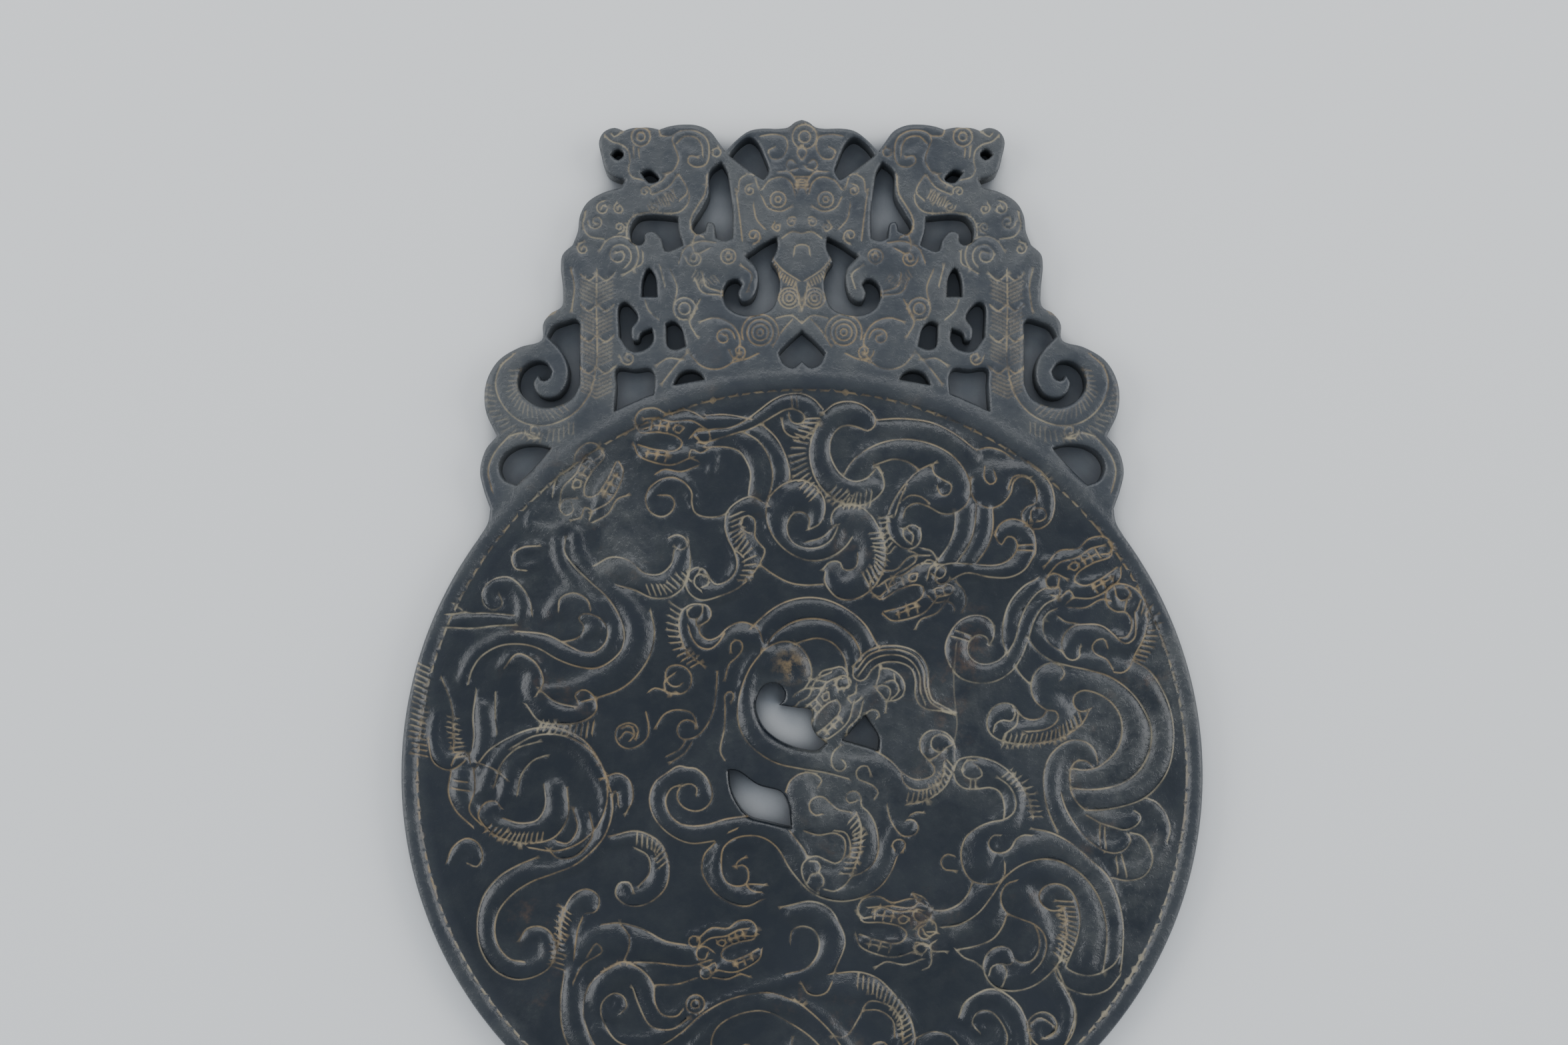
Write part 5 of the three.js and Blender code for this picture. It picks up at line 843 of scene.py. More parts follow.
# The fringes and manes: short cuts beside a line.
FRINGES = (
    ticks([(3.2, 86), (0.6, 80.6), (1.4, 75.4), (4.4, 70.4)], -3.2, 0.8)
    + ticks([(6, 69), (11, 66.2), (17, 66.6)], 3.4, 0.9)
    + ticks([(-17.6, 64), (-17, 58.6), (-14.2, 53), (-15.6, 48)], 2.6, -0.9)
    + ticks([(17, 46.4), (20.6, 50.4), (21.4, 55.4), (20, 60)], 3, 0.8)
    + ticks([(-30.2, 40.6), (-31, 36.6), (-29.6, 31.6), (-25.4, 27.6)], -2.6, -0.9)
    + ticks([(26, -8), (31, -7), (35, -4), (38, 1)], 2.6, 0.9)
    + ticks([(13.4, -10.4), (15, -14), (15, -18), (12.8, -25)], -2.4, 0.9)
    + ticks([(50, 6.6), (57, 6.8), (64, 8), (70, 12)], 2.6, 0.9)
    + ticks([(83.8, 40.6), (86.6, 38), (85.6, 33), (83, 28.4)], 2.6, -0.8)
    + ticks([(65.6, -47), (67.6, -42), (68, -37), (67, -32)], 3.4, 0.9)
    + ticks([(50, -1), (54.4, -4.4), (57, -11)], 2.6, 0.9)
    + ticks([(-59.4, -49), (-59.4, -42), (-57.6, -35)], 2.6, 0.9)
    + ticks([(-93, 26), (-93.8, 18), (-94.2, 10), (-93.6, 4)], -3, -1)
    + ticks([(-52, 12.4), (-58, 11.8), (-64.6, 13)], 2.6, 0.8)
    + ticks([(-33.6, -22), (-35.4, -17.8), (-41, -15)], 2.4, -0.9)
    + ticks([(-88.6, 14), (-88, 8), (-86, 3.8)], 2.4, 0.8)
    + ticks([(-79, -14.8), (-72, -17.6), (-65, -17.2)], 2.2, 0.8)
    + ticks([(14, -50), (20, -53), (25.6, -59), (27.4, -66)], -2.6, 0.9)
    + ticks([(-28, 48), (-30.6, 46.6), (-33.4, 44.8), (-38, 44.4)], -2.4, 0.8)
    + ticks([(22, 64), (21.4, 60.6), (23.4, 56.6)], -2, 0.8)
    + ticks([(-36, -88), (-27, -86.8), (-18, -85)], 2.4, 0.9)
)


def scroll(x, y, radius, start, turns=1.25, hand=1):
    """A spiral that opens from its middle."""
    count = round(turns * 12)
    rows = []
    for i in range(count + 1):
        reach = radius * (0.22 + 0.78 * i / count)
        angle = math.radians(start) + hand * 2 * math.pi * turns * (i / count - 1)
        rows.append((x + reach * math.cos(angle), y + reach * math.sin(angle)))
    return rows


def rings(x, y, *radii):
    return [arc(x, y, radius) for radius in radii]


# A dragon's head in profile, jaws open towards +X, in units of its own length: the brow and snout,
# the upper lip with its teeth, the lower jaw with its teeth and beard, the eye, and the ear's curl.
HEAD = [
    [(-0.36, 0.3), (-0.14, 0.4), (0.1, 0.34), (0.26, 0.4), (0.44, 0.36), (0.5, 0.24), (0.44, 0.14),
     (0.34, 0.16)],
    [(-0.4, 0.16), (-0.2, 0.26), (0.04, 0.24), (0.24, 0.28), (0.38, 0.26)],
    [(0.5, 0.22), (0.44, 0.1), (0.2, 0.1), (-0.02, 0.06), (-0.1, -0.02), (-0.02, -0.12), (0.2, -0.12),
     (0.46, -0.06)],
    [(0.08, 0.22), (0.1, 0.12)], [(0.18, 0.24), (0.2, 0.13)], [(0.29, 0.25), (0.3, 0.14)],
    [(0.08, 0.18), (0.3, 0.19)],
    [(0.08, -0.14), (0.1, -0.24)], [(0.2, -0.12), (0.22, -0.22)], [(0.32, -0.1), (0.34, -0.2)],
    [(0.08, -0.19), (0.34, -0.16)],
    [(-0.22, -0.2), (0.02, -0.3), (0.24, -0.28), (0.44, -0.2), (0.5, -0.08)],
    [(-0.3, -0.3), (-0.1, -0.38), (0.12, -0.36), (0.22, -0.42)],
    [(-0.2, 0.06), (-0.3, 0.16), (-0.42, 0.14), (-0.44, 0.02), (-0.34, -0.02), (-0.28, 0.06)],
    [(-0.44, -0.08), (-0.34, -0.14), (-0.22, -0.1), (-0.2, -0.2), (-0.3, -0.24)],
    [(-0.12, 0.17), (-0.04, 0.2), (0.02, 0.15), (-0.05, 0.1), (-0.12, 0.17)],
]


def head(x, y, length, turn, hand=1):
    """The head's cuts at a place, turned, and mirrored where hand is -1."""
    c, s = math.cos(math.radians(turn)), math.sin(math.radians(turn))
    return [[(x + length * (c * a - s * hand * b), y + length * (s * a + c * hand * b)) for a, b in row]
            for row in HEAD]


HEADS = (
    head(7.6, 16.6, 18, -128, -1)
    + head(-32, 83, 20, 178, -1)
    + head(28.4, 45.6, 20, -152, -1)
    + head(70, 49, 20, 22)
    + head(24, -39.6, 21, 176, -1)
    + head(-53.4, 71, 20, 52)
    + head(-18.6, -44.6, 17, 14)
    + head(26.4, -83.6, 18, 184, -1)
)

# The crest's cuts for x > 0: the beast, its feathered column and tail, half the mask, and the bird.
BEAST = rings(40.6, 160, 2.4, 1.1) + rings(21.5, 156, 1.1) + [
    [(49.7, 160.3), (48, 158.8), (45.5, 158), (43.8, 156.5), (43.3, 154), (43.7, 151.5), (42.8, 149.8),
     (40.2, 149)],
    [(48, 160.7), (47.3, 160), (45, 161.5)], [(42.5, 157), (42.3, 155)], [(41.2, 157), (41, 155)],
    [(36, 161.8), (35.5, 160.3), (32.8, 160.2)],
    [(32.7, 159), (32, 160.7), (30, 161.5), (27, 161.4), (24.5, 160), (23.5, 158), (23.6, 154),
     (24.5, 152.7), (27, 152.3), (28.7, 153.5), (28.2, 155), (26.6, 154.8)],
    [(31.6, 158.2), (29.6, 160), (26.6, 159.6), (25.2, 157.6), (25, 155.4)],
    [(32.3, 158), (31.1, 154), (33, 150.8), (34.3, 150.6)],
    [(33.5, 151), (35.4, 148.6), (38, 147.2)], [(31.3, 150.4), (33.6, 147.2), (37.7, 145.2)],
    [(31, 150.5), (28.8, 146), (30.8, 143.8)], scroll(39.5, 146, 1.5, 200), scroll(37.3, 142.3, 1.4, 0),
    [(44, 134), (44, 137), (42.5, 139.7), (39, 140.7), (31, 140.8), (28.7, 143), (28.3, 145)],
    [(24, 150), (24.3, 146), (28, 139), (27.6, 136), (25, 134.6)],
    scroll(50, 141.7, 1.9, 90), scroll(46, 141.7, 1.5, 60), scroll(51.8, 138.3, 2.1, 0),
    scroll(46, 137, 1.5, 270),
    [(54.4, 141), (55, 137), (53.4, 134.6), (49.8, 134)], scroll(46, 129.8, 3.4, 240, 1.5),
    arc(46, 129.8, 4.9, 20, 250), [(42.6, 126.4), (40.2, 127.8), (40, 130.6)], scroll(55, 131.5, 1.7, 90),
    [(26.6, 135.4), (27.6, 132.4), (26.4, 130.2), (23.6, 131.4)],
] + ticks([(31.7, 144.4), (36, 142.2)], 1.5, 0, 0.65)
FEATHERS = [[(x, y), (x + 2, y - 1.6), (x + 4.1, y)]
            for y in (125, 117.3, 109.5, 101.5) for x in (47.3, 51.5)]
COLUMN = FEATHERS + [
    [(51.5, 126), (51.6, 117), (51.4, 109), (51.6, 101.5), (53.4, 94.5), (57.4, 89.6), (64, 86.8),
     (70, 87.6), (74.6, 91.4), (76.8, 96.8), (75.6, 101.6), (72, 105)],
    [(58, 126), (57.2, 122), (57.8, 116.4)], scroll(67.2, 85.4, 2.2, 0),
    [(73.6, 84), (77, 80), (78.6, 75.6), (77.6, 70.4)], [(66, 83.6), (70.4, 85), (73.6, 84)],
    [(66.6, 108.4), (67, 111.6), (65.6, 113.6), (62, 115.6)],
]
# Fine, shallow cuts: the hatching of the column, the tail and the bird, for x > 0
HERRINGBONE = []
for leg_x, reach in ((47.8, -3.2), (55.3, 3.2)):
    for leg_low in (95.5, 103.4, 111.2, 119):
        HERRINGBONE += ticks([(leg_x, leg_low), (leg_x, leg_low + 5.2)], reach, -1.6, 1.0)
HERRINGBONE += ticks([(58.6, 90.6), (64, 88.4), (70, 90), (73.6, 95), (72.6, 100.6)], 2.2, 0.9)
HERRINGBONE += ticks([(57.2, 87.4), (64, 84.8), (71.6, 86), (76.6, 91), (78.4, 97)], -1.9, 0.9)
HERRINGBONE += ticks([(21, 123.4), (25, 122), (27.6, 124.4)], 1.5, 0.4, 0.9)
MASK = rings(6, 144, 2, 0.8) + [
    [(10.2, 160.2), (7, 160.6), (4.2, 159.8), (3.6, 157.4), (5.2, 154.6), (7.6, 154.4), (8.4, 156.4),
     (6.8, 157.4)],
    [(1.2, 152), (2.7, 151.4), (4, 152.8), (2.9, 154.3), (1.8, 153.4)],
    [(1, 146), (1.6, 149), (3.4, 151), (6, 151)],
    [(1.8, 145.4), (2.6, 148.2), (4.6, 149.6), (8, 149), (10, 146.6)],
    [(3, 142), (5.4, 141), (8.6, 142), (10, 144.6)],
    [(11.2, 147.6), (12.4, 150.4), (15.4, 149.4), (16, 146)],
    scroll(13, 146.3, 1.6, 90), scroll(12.2, 134.8, 2, 270), scroll(2.5, 138.2, 1.5, 120),
    scroll(6.2, 137, 1.3, 60),
    [(16.6, 146.6), (15.6, 139), (15, 133.6)], [(12.2, 142.6), (11.4, 139), (9.4, 136.6)],
    [(0, 135.4), (2.6, 135.8), (5, 134.2)], [(0, 132.6), (1.6, 132.2), (2, 130.2)],
    [(7.3, 128.8), (4.6, 126), (0.8, 123.5)], [(0, 112.6), (2.6, 114.6), (6.4, 114)],
    [(0, 116), (0.9, 119), (1.4, 122.6)], arc(10.5, 110.3, 4.6, 200, -20),
    [(2.4, 113.6), (5, 110.6), (7, 107.4)],
    [(0, 158), (1.2, 156), (0, 154)], [(11, 105), (14, 103.6), (17.4, 102.8)],
] + rings(3.2, 119, 2.6, 1.7, 0.8) + rings(10.5, 110.3, 3.3, 2.1, 0.9)
MASK += ticks([(7, 127.6), (4.4, 125), (1.6, 123)], 1.3, 0.3, 0.8)
MASK += ticks([(0.3, 149.8), (0.3, 147)], 1.1, 0, 0.8)
BIRD = rings(18.5, 129.5, 1.9, 0.8) + rings(29.5, 116.3, 2.8, 1.5) + [
    scroll(27, 129, 2.2, 0, 1.5), scroll(19.5, 109, 2.6, 180), arc(22, 107.5, 6.5, 60, 330),
    scroll(15.8, 105.5, 2.3, 0),
    [(15, 127), (12.6, 125), (13.4, 121.5)], [(25, 125), (24, 122), (20, 120.6)],
    [(27, 124), (25, 120.5), (20, 119.8)], [(21.6, 133), (25.6, 133.4), (29.4, 131.6), (31, 128)],
    [(33, 126), (31.4, 121.6), (32.2, 117.4)], [(35.6, 126.8), (34.4, 122)],
    [(25.6, 118.6), (28.2, 113), (26.6, 109.6)],
    scroll(43.6, 103.8, 1.9, 0), [(30, 103.4), (33.6, 103.8), (36, 102.4)],
    [(29, 105), (31.6, 102), (35, 97.6)],
    [(36, 113.6), (38.6, 116), (39.4, 118.4)],
]

MEDALLION = rings(0.7, 160, 3.1, 1.5)
RIM_DASHES = [arc(0, 0, DASHES_AT, start, start + 0.9) for start in range(0, 360, 2)]
CRACK = [[(38.5, 32), (38, 26), (38, 20), (38.7, 12), (38, 7), (38, 2)]]


# ---- outline ------------------------------------------------------------------------------------

def loops(step):
    """The outer edge and then every opening, as closed rows of points."""
    half = closed(CREST_EDGE, step)
    turn = np.arange(CREST_FOOT, -math.pi - CREST_FOOT, -step / DISC_RADIUS)
    rim = DISC_RADIUS * np.column_stack([np.cos(turn), np.sin(turn)])
    outer = np.vstack([half, rim[1:-1], mirrored(half[1:])])
    holes = [closed(runs, step) for runs in CREST_HOLES]
    holes += [mirrored(hole) for hole in holes]
    holes.append(closed(CENTRE_HOLE, step))
    holes += [closed(runs, step) for runs in DISC_HOLES]
    return [outer] + holes


def inside(points, loop):
    """Which points lie inside a closed row, by crossings along +X."""
    hit = np.zeros(len(points), bool)
    low, high = loop.min(0), loop.max(0)
    near = np.where(((points >= low) & (points <= high)).all(1))[0]
    x, y = points[near].T
    crossings = np.zeros(len(near), int)
    for (ax, ay), (bx, by) in zip(loop, np.roll(loop, -1, 0)):
        if ay != by:
            spans = (ay > y) != (by > y)
            crossings += spans & (x < ax + (y - ay) * (bx - ax) / (by - ay))
    hit[near] = crossings % 2 == 1
    return hit


def on_stone(points, edges):
    keep = inside(points, edges[0])
    for hole in edges[1:]:
        keep &= ~inside(points, hole)
    return keep


def tree_of(points):
    tree = kdtree.KDTree(len(points))
    for i, (x, y) in enumerate(points):
        tree.insert((x, y, 0), i)
    tree.balance()
    return tree


def distance(points, tree):
    return np.array([tree.find((x, y, 0))[2] for x, y in points])


# ---- height of the front ------------------------------------------------------------------------

def dome(points, height, row, ground, most):
    """Raises the points that lie on a strap to its domed section, where they are lower."""
    line = smooth(row, STRAP_STEP)
    reach = line[:, 2].max() * STRAP_SPREAD
    low, high = line[:, :2].min(0) - reach, line[:, :2].max(0) + reach
    near = np.where(((points > low) & (points < high)).all(1))[0]
    if not len(near):
        return
    apart = np.hypot(points[near, 0, None] - line[:, 0], points[near, 1, None] - line[:, 1])
    across = apart / (STRAP_SPREAD * line[:, 2])
    best = across.argmin(1)
    u = across[np.arange(len(near)), best]
    rise = np.minimum(most, most * (RISE_LEAST + RISE_PER_WIDTH * line[best, 2]))
    top = ground + rise * np.clip(1 - u * u, 0, 1) ** DOME_POWER
    height[near] = np.where(u < 1, np.maximum(height[near], top), height[near])


def cut_share(gap):
    """How much of a line's depth is left at that distance from its middle."""
    return np.clip(1 - (gap / LINE_HALF) ** 2, 0, 1)


def fallen(edge_gap, radius):
    """How far an arris of that radius has rounded a face down, at that distance from its edge."""
    within = np.clip(radius - edge_gap, 0, radius)
    return radius - np.sqrt(radius**2 - within**2)


def front_height(points, edge_gap, cut):
    radius = np.hypot(*points.T)
    angle = np.abs(np.arctan2(points[:, 0], points[:, 1]))
    height = np.where(radius <= DISC_RADIUS, FIELD_HEIGHT, CREST_HEIGHT)
    for rows in DRAGONS.values():
        for row in rows:
            dome(points, height, row, FIELD_HEIGHT, RELIEF_MAX)
    for row in CREST_STRAPS + [[(x, y, r), (x + 0.1, y, r)] for x, y, r in CREST_BOSSES]:
        dome(points, height, row, CREST_HEIGHT, CREST_RELIEF)
        dome(points, height, flip(row), CREST_HEIGHT, CREST_RELIEF)
    # the rim is a half round, which runs under the crest as a narrow collar
    under_crest = angle < math.pi / 2 - COLLAR_REACH + COLLAR_OVERLAP
    outer = np.where(under_crest, COLLAR_RADIUS, DISC_RADIUS + RIM_PAST_EDGE)
    inner = DISC_RADIUS - RIM_WIDTH
    u = np.clip((radius - inner) / (outer - inner) * 2 - 1, -1, 1)
    rim = FIELD_HEIGHT + (RIM_HEIGHT - FIELD_HEIGHT) * np.sqrt(1 - u * u)
    rim = np.where((radius > inner) & (radius < outer), rim, 0)
    crest_side = under_crest & (radius > (inner + outer) / 2)
    height = np.maximum(height, rim)
    height = np.where(crest_side, np.maximum(height, CREST_HEIGHT), height)
    height -= LINE_DEPTH * cut
    return height - fallen(edge_gap, ARRIS)


# ---- mesh ---------------------------------------------------------------------------------------

def edge_rows(edges, offsets):
    """Rows of points beside every edge, on the stone."""
    rows = []
    for loop in edges:
        ahead = np.roll(loop, -1, 0) - np.roll(loop, 1, 0)
        ahead /= np.hypot(*ahead.T)[:, None]
        side = np.column_stack([-ahead[:, 1], ahead[:, 0]])
        rows += [loop + sign * offset * side for offset in offsets for sign in (1, -1)]
    return np.vstack(rows)


def line_rows(lines):
    """Points down the middle of every cut line and along its two banks."""
    rows = []
    for row in lines:
        line = smooth(row, LINE_STEP)
        ahead = np.gradient(line, axis=0)
        ahead /= np.maximum(np.hypot(*ahead.T), 1e-9)[:, None]
        side = LINE_HALF * np.column_stack([-ahead[:, 1], ahead[:, 0]])
        rows += [line, line + side, line - side]
    return np.vstack(rows)


def lattice(step):
    """An even triangular lattice over the whole carving."""
    rise = step * math.sqrt(3) / 2
    top = (HIGH[1] / MM) - CENTRE_Y
    rows = np.arange(-DISC_RADIUS, top, rise)
    columns = np.arange(-DISC_RADIUS, DISC_RADIUS, step)
    return np.array([(x + (i % 2) * step / 2, y) for i, y in enumerate(rows) for x in columns])


def thinned(points, gap):
    """One point to each square cell of that size."""
    cells = np.round(points / gap).astype(int)
    first = np.unique(cells, axis=0, return_index=True)[1]
    return points[np.sort(first)]


def triangulated(edges, points):
    """Triangles over the stone, with the edges' own points first."""
    ring = np.vstack(edges)
    spans, start = [], 0
    for loop in edges:
        spans += [(start + i, start + (i + 1) % len(loop)) for i in range(len(loop))]
        start += len(loop)
    flat = np.vstack([ring, points])
    out = geometry.delaunay_2d_cdt([tuple(p) for p in flat], spans, [], 1, 1e-6, False)
    xy = np.array([tuple(p) for p in out[0]])
    faces = np.array([f for f in out[2] if len(f) == 3])
    return xy, faces[on_stone(xy[faces].mean(1), edges)]


def front_points(edges, edge_tree, lines):
    """Points for the front: close beside edges and cut lines, and a lattice over the rest."""
    along = thinned(line_rows(lines), 0.22)
    detail = np.vstack([edge_rows(edges, FRONT_EDGE_ROWS), along])
    detail = detail[on_stone(detail, edges)]
    detail = thinned(detail[distance(detail, edge_tree) > 0.19], 0.2)
    detail_tree = tree_of(detail)
    ground = lattice(FRONT_STEP)
    ground = ground[on_stone(ground, edges)]
    clear = distance(ground, detail_tree) > 0.45 * FRONT_STEP
    ground = ground[clear & (distance(ground, edge_tree) > 0.6)]
    return np.vstack([detail, ground])


def back_points(edges, edge_tree):
    plain = np.vstack([lattice(BACK_STEP), edge_rows(edges, BACK_EDGE_ROWS)])
    plain = plain[on_stone(plain, edges)]
    return thinned(plain[distance(plain, edge_tree) > 0.25], 0.3)


def build_jade(lines, fine_lines):
    """The whole stone as one closed mesh, with how full of pigment each point of it is."""
    edges = loops(EDGE_STEP)
    edge_tree = tree_of(np.vstack(loops(EDGE_STEP / 4)))
    line_tree = tree_of(np.vstack([smooth(row, TRACE_STEP) for row in lines]))
    fine_tree = tree_of(np.vstack([smooth(row, TRACE_STEP) for row in fine_lines]))

    front, front_faces = triangulated(edges, front_points(edges, edge_tree, lines + fine_lines))
    fine_cut = FINE_SHARE * cut_share(distance(front, fine_tree))
    cut = np.maximum(cut_share(distance(front, line_tree)), fine_cut)
    top = front_height(front, distance(front, edge_tree), cut)
    back, back_faces = triangulated(edges, back_points(edges, edge_tree))
    under = fallen(distance(back, edge_tree), BACK_ARRIS)
    points = [np.column_stack([front, top]), np.column_stack([back, under])]
    faces = front_faces.tolist() + (back_faces[:, ::-1] + len(front)).tolist()

    # walls, in bands between the front's ring and the back's
    front_tree, back_tree = tree_of(front), tree_of(back)
    start = len(front) + len(back)
    for loop in edges:
        high = np.array([front_tree.find((x, y, 0))[1] for x, y in loop])
        low = np.array([back_tree.find((x, y, 0))[1] for x, y in loop])
        levels = [high]
        for band in range(1, WALL_BANDS):
            level = top[high] + band / WALL_BANDS * (under[low] - top[high])
            points.append(np.column_stack([loop, level]))
            levels.append(np.arange(start, start + len(loop)))
            start += len(loop)
        levels.append(low + len(front))
        for a, b in zip(levels[:-1], levels[1:]):
            faces += np.column_stack([a, b, np.roll(b, -1), np.roll(a, -1)]).tolist()

    place = (np.vstack(points) + [0, CENTRE_Y, 0]) * MM
    mesh = bpy.data.meshes.new("jade_carving_detail")
    mesh.from_pydata(place.tolist(), [], faces)
    outward = bmesh.new()
    outward.from_mesh(mesh)
    bmesh.ops.recalc_face_normals(outward, faces=outward.faces)
    outward.to_mesh(mesh)
    outward.free()
    fill = np.zeros(len(place), np.float32)
    fill[:len(front)] = np.clip(FILL_SPREAD * cut, 0, 1)
    mesh.attributes.new("line_fill", "FLOAT", "POINT").data.foreach_set("value", fill)
    mesh.polygons.foreach_set("use_smooth", [True] * len(mesh.polygons))
    jade = bpy.data.objects.new("jade_carving_detail", mesh)
    bpy.context.collection.objects.link(jade)
    return jade


# ---- material -----------------------------------------------------------------------------------

def stone_material():
    """Blue-black jade with a soft polish, earth stains, wear, and pale filling in the cut lines."""
    material = bpy.data.materials.new("dark_jade")
    material.use_nodes = True
    nodes, links = material.node_tree.nodes, material.node_tree.links
    nodes.clear()

    def node(kind, **values):
        made = nodes.new(kind)
        for name, value in values.items():
            if hasattr(made, name):
                setattr(made, name, value)
            else:
                made.inputs[name.replace("_", " ").title()].default_value = value
        return made

    def noise(scale, detail=4.0, roughness=0.55):
        made = node("ShaderNodeTexNoise", scale=scale, detail=detail, roughness=roughness)
        links.new(place.outputs["Object"], made.inputs["Vector"])
        return made.outputs["Fac"]

    def ramp(value, low, high, bottom=BLACK, top=WHITE):
        made = node("ShaderNodeValToRGB")
        first, last = made.color_ramp.elements
        first.position, first.color = low, bottom
        last.position, last.color = high, top
        links.new(value, made.inputs["Fac"])
        return made.outputs["Color"]

    def mix(share, a, b):
        made = node("ShaderNodeMix", data_type="RGBA")
        for socket, value in ((made.inputs[0], share), (made.inputs[6], a), (made.inputs[7], b)):
            if isinstance(value, (tuple, float)):
                socket.default_value = value
            else:
                links.new(value, socket)
        return made.outputs[2]

    def maths(operation, a, b=0.0):
        made = node("ShaderNodeMath", operation=operation)
        for socket, value in zip(made.inputs, (a, b)):
            if isinstance(value, float):
                socket.default_value = value
            else:
                links.new(value, socket)
        return made.outputs[0]

    def distance_from(point):
        made = node("ShaderNodeVectorMath", operation="DISTANCE")
        made.inputs[1].default_value = [value * MM for value in point]
        links.new(place.outputs["Object"], made.inputs[0])
        return made.outputs["Value"]

    place = node("ShaderNodeTexCoord")
    surface = node("ShaderNodeNewGeometry")
    fill = node("ShaderNodeAttribute", attribute_name="line_fill").outputs["Fac"]

    # the stone: dark and grey clouds, greenish flecks, rusty spots
    clouds = ramp(noise(22.0), 0.38, 0.68)
    flecks = ramp(noise(150.0, 6.0, 0.65), 0.42, 0.72)
    grains = ramp(noise(700.0, 3.0, 0.7), 0.5, 0.75)
    base = mix(clouds, STONE_DARK, STONE_GREY)
    base = mix(maths("MULTIPLY", flecks, 0.5), base, STONE_GREEN)
    rust = maths("MULTIPLY", ramp(noise(38.0, 5.0, 0.62), 0.6, 0.72),
                 ramp(noise(260.0, 4.0, 0.7), 0.46, 0.66))
    base = mix(maths("MULTIPLY", rust, 0.55), base, RUST)

    # the crest and the rim beside it are duller and greyer than the disc, partly its duller stone and
    # partly a painted sheen of the light from above the crest: from 93 mm out to 104 mm
    crest = ramp(maths("MULTIPLY", distance_from((0, CENTRE_Y, 0)), 5.0), 0.465, 0.52)
    base = mix(maths("MULTIPLY", crest, 0.75), base, CREST_GREY_AND_SHEEN)

    # dust where the polish is worn and in the hollows, and one ochre patch, gone 5.5 mm from its place
    worn = maths("MULTIPLY", ramp(noise(17.0, 3.0), 0.5, 0.66), ramp(noise(90.0, 6.0, 0.7), 0.4, 0.62))
    worn = maths("MAXIMUM", worn, maths("MULTIPLY", crest, ramp(noise(60.0, 5.0, 0.65), 0.4, 0.65)))
    base = mix(maths("MULTIPLY", worn, 0.32), base, DUST)
    patch = ramp(maths("MULTIPLY", distance_from(WEAR_PLACE), 100.0), 0.1, 0.55, WHITE, BLACK)
    patch = maths("MULTIPLY", patch, ramp(noise(320.0, 5.0, 0.7), 0.42, 0.6))
    base = mix(maths("MULTIPLY", patch, 0.6), base, FILL_OCHRE)
    hollow = ramp(surface.outputs["Pointiness"], 0.40, 0.495, WHITE, BLACK)
    base = mix(maths("MULTIPLY", hollow, 0.16), base, DUST)

    # what is left of the filling in the cut lines
    uneven = ramp(noise(120.0, 5.0, 0.7), 0.36, 0.56)
    pigment = maths("MULTIPLY", fill, maths("ADD", maths("MULTIPLY", uneven, 0.75), 0.12))
    tint = mix(ramp(noise(30.0), 0.42, 0.6), FILL_OCHRE, FILL_PALE)
    colour = mix(pigment, base, tint)

    rough = maths("ADD", POLISH, maths("MULTIPLY", flecks, 0.08))
    rough = maths("ADD", rough, maths("MULTIPLY", crest, 0.1))
    rough = maths("ADD", rough, maths("MULTIPLY", worn, 0.14))
    rough = maths("MAXIMUM", rough, maths("MULTIPLY", pigment, 0.8))

    bump = node("ShaderNodeBump", strength=0.6, distance=GRAIN_HEIGHT)
    height = maths("ADD", maths("MULTIPLY", grains, maths("ADD", maths("MULTIPLY", worn, 0.8), 0.2)),
                   maths("MULTIPLY", flecks, 0.6))
    links.new(height, bump.inputs["Height"])

    shader = node("ShaderNodeBsdfPrincipled")
    shader.inputs["IOR"].default_value = STONE_IOR
    links.new(colour, shader.inputs["Base Color"])
    links.new(rough, shader.inputs["Roughness"])
    links.new(bump.outputs["Normal"], shader.inputs["Normal"])
    out = node("ShaderNodeOutputMaterial")
    links.new(shader.outputs["BSDF"], out.inputs["Surface"])
    return material


def floor_material():
    """Plain pale paper with painted shade: its colour darkens softly, by ambient occlusion, where the
    stone stands close round it.
    """
    material = bpy.data.materials.new("floor_paper")
    material.use_nodes = True
    nodes, links = material.node_tree.nodes, material.node_tree.links
    shader = nodes["Principled BSDF"]
    shader.inputs["Roughness"].default_value = 0.9
    # painted shade: the paper's colour runs from pale to dark grey as the stone closes in round it
    open_sky = nodes.new("ShaderNodeAmbientOcclusion")
    open_sky.samples = 16
    open_sky.inputs["Distance"].default_value = FLOOR_SHADE_REACH * MM
    blend = nodes.new("ShaderNodeValToRGB")
    first, last = blend.color_ramp.elements
    first.position, first.color = 0.32, FLOOR_SHADE
    last.position, last.color = 0.66, FLOOR_GREY
    links.new(open_sky.outputs["AO"], blend.inputs["Fac"])
    links.new(blend.outputs["Color"], shader.inputs["Base Color"])
    return material


# ---- floor, light, camera -----------------------------------------------------------------------

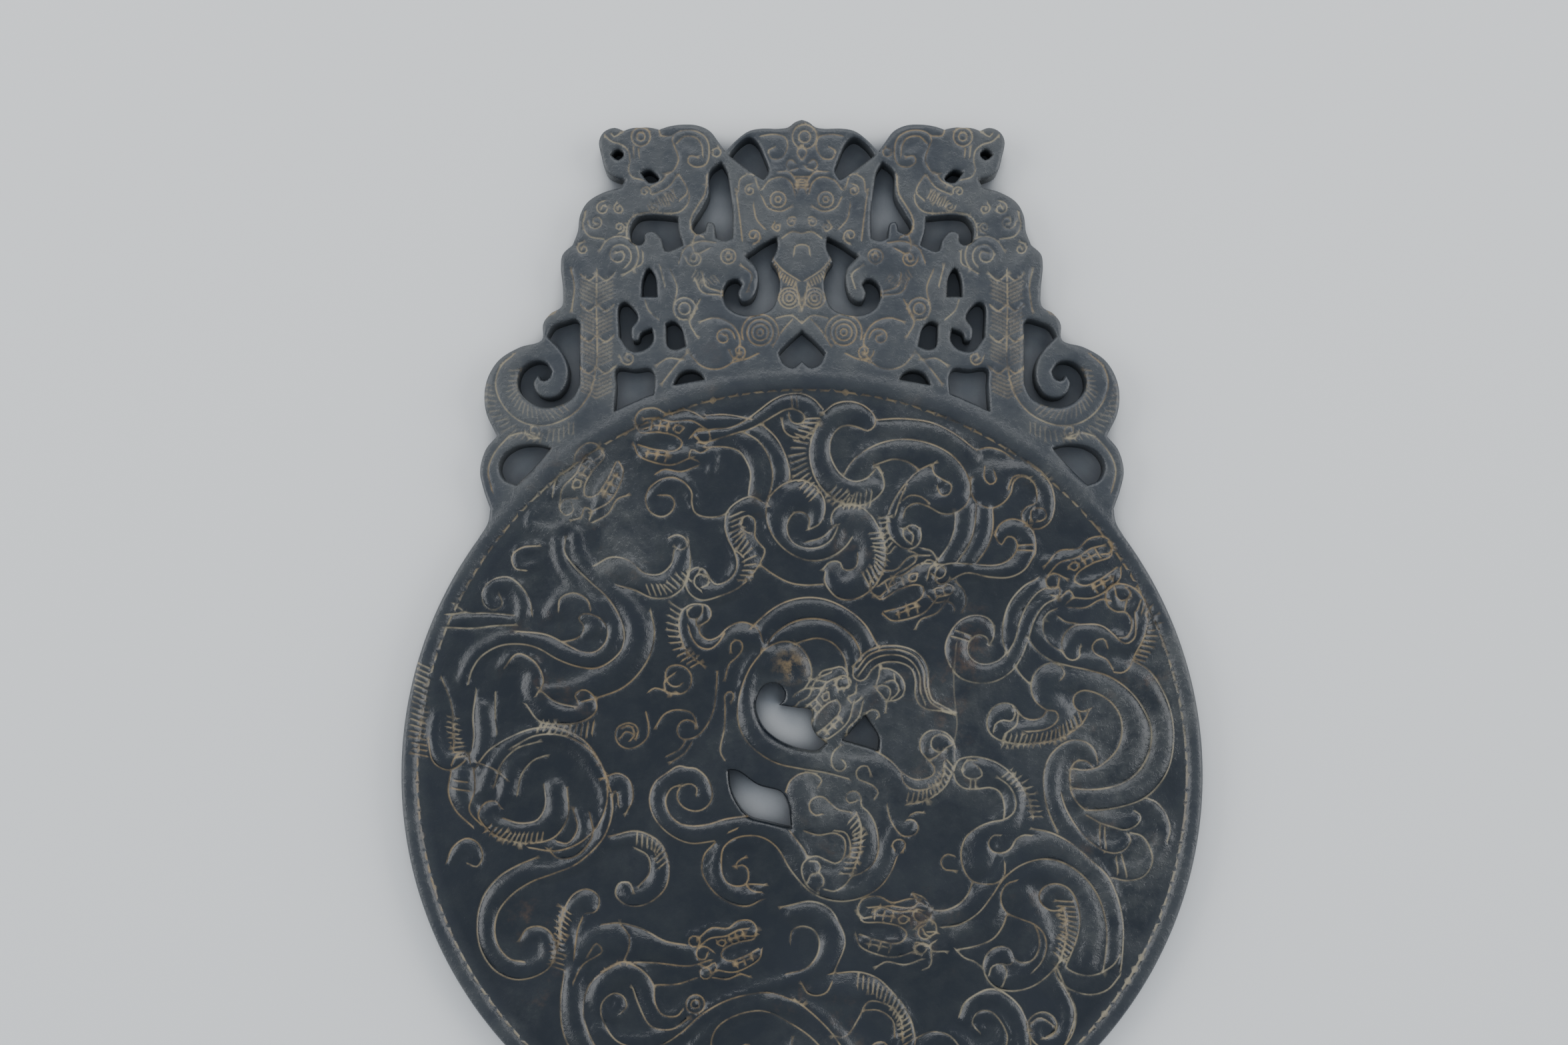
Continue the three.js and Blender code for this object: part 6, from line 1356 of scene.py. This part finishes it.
def build_floor():
    half = FLOOR_HALF * MM
    corners = [(-half, -half, 0), (half, -half, 0), (half, half, 0), (-half, half, 0)]
    mesh = bpy.data.meshes.new("floor")
    mesh.from_pydata(corners, [], [(0, 1, 2, 3)])
    mesh.materials.append(floor_material())
    floor = bpy.data.objects.new("floor", mesh)
    floor.location.z = LOW[2] - FLOOR_GAP * MM
    bpy.context.collection.objects.link(floor)


def add_lights():
    middle = Vector((0, 0, 0))
    for name, (place, size, power) in LIGHTS.items():
        lamp = bpy.data.lights.new(name, "AREA")
        lamp.shape = "RECTANGLE"
        lamp.size, lamp.size_y = size
        lamp.energy = power
        holder = bpy.data.objects.new(name, lamp)
        holder.location = place
        holder.rotation_euler = (middle - holder.location).to_track_quat("-Z", "Y").to_euler()
        bpy.context.collection.objects.link(holder)
    world = bpy.data.worlds.new("studio")
    bpy.context.scene.world = world
    world.use_nodes = True
    background = world.node_tree.nodes["Background"]
    background.inputs["Color"].default_value = SKY
    background.inputs["Strength"].default_value = SKY_STRENGTH


def add_camera():
    lens = bpy.data.cameras.new("camera")
    lens.sensor_width = FILM_WIDTH
    lens.lens = FOCAL_LENGTH
    lens.shift_y = LENS_SHIFT
    camera = bpy.data.objects.new("camera", lens)
    camera.location = (CAMERA_X * MM, (CENTRE_Y + CAMERA_Y) * MM, (CAMERA_HEIGHT + CREST_HEIGHT) * MM)
    camera.rotation_euler = (CAMERA_TILT, 0, 0)
    bpy.context.collection.objects.link(camera)
    bpy.context.scene.camera = camera


# ---- the whole ----------------------------------------------------------------------------------

DISC_LINES = (
    MIDDLE_DRAGON + LOWER_DRAGON + TOP_DRAGON + TOP_RIGHT_DRAGON + RIGHT_DRAGON + LOWER_RIGHT_DRAGON
    + UPPER_LEFT_DRAGON + LEFT_DRAGON + LOWER_LEFT_DRAGON + BOTTOM_DRAGON + GROUND_CURLS
    + FRINGES + HEADS + RIM_DASHES
)
CREST_LINES = BEAST + COLUMN + MASK + BIRD
LINES = DISC_LINES + MEDALLION + CREST_LINES + [flip(row) for row in CREST_LINES]
FINE_LINES = HERRINGBONE + [flip(row) for row in HERRINGBONE] + CRACK

add_lights()
add_camera()
build_floor()
jade = build_jade(LINES, FINE_LINES)
jade.data.materials.append(stone_material())
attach(jade, "root")
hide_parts("jade_carving")
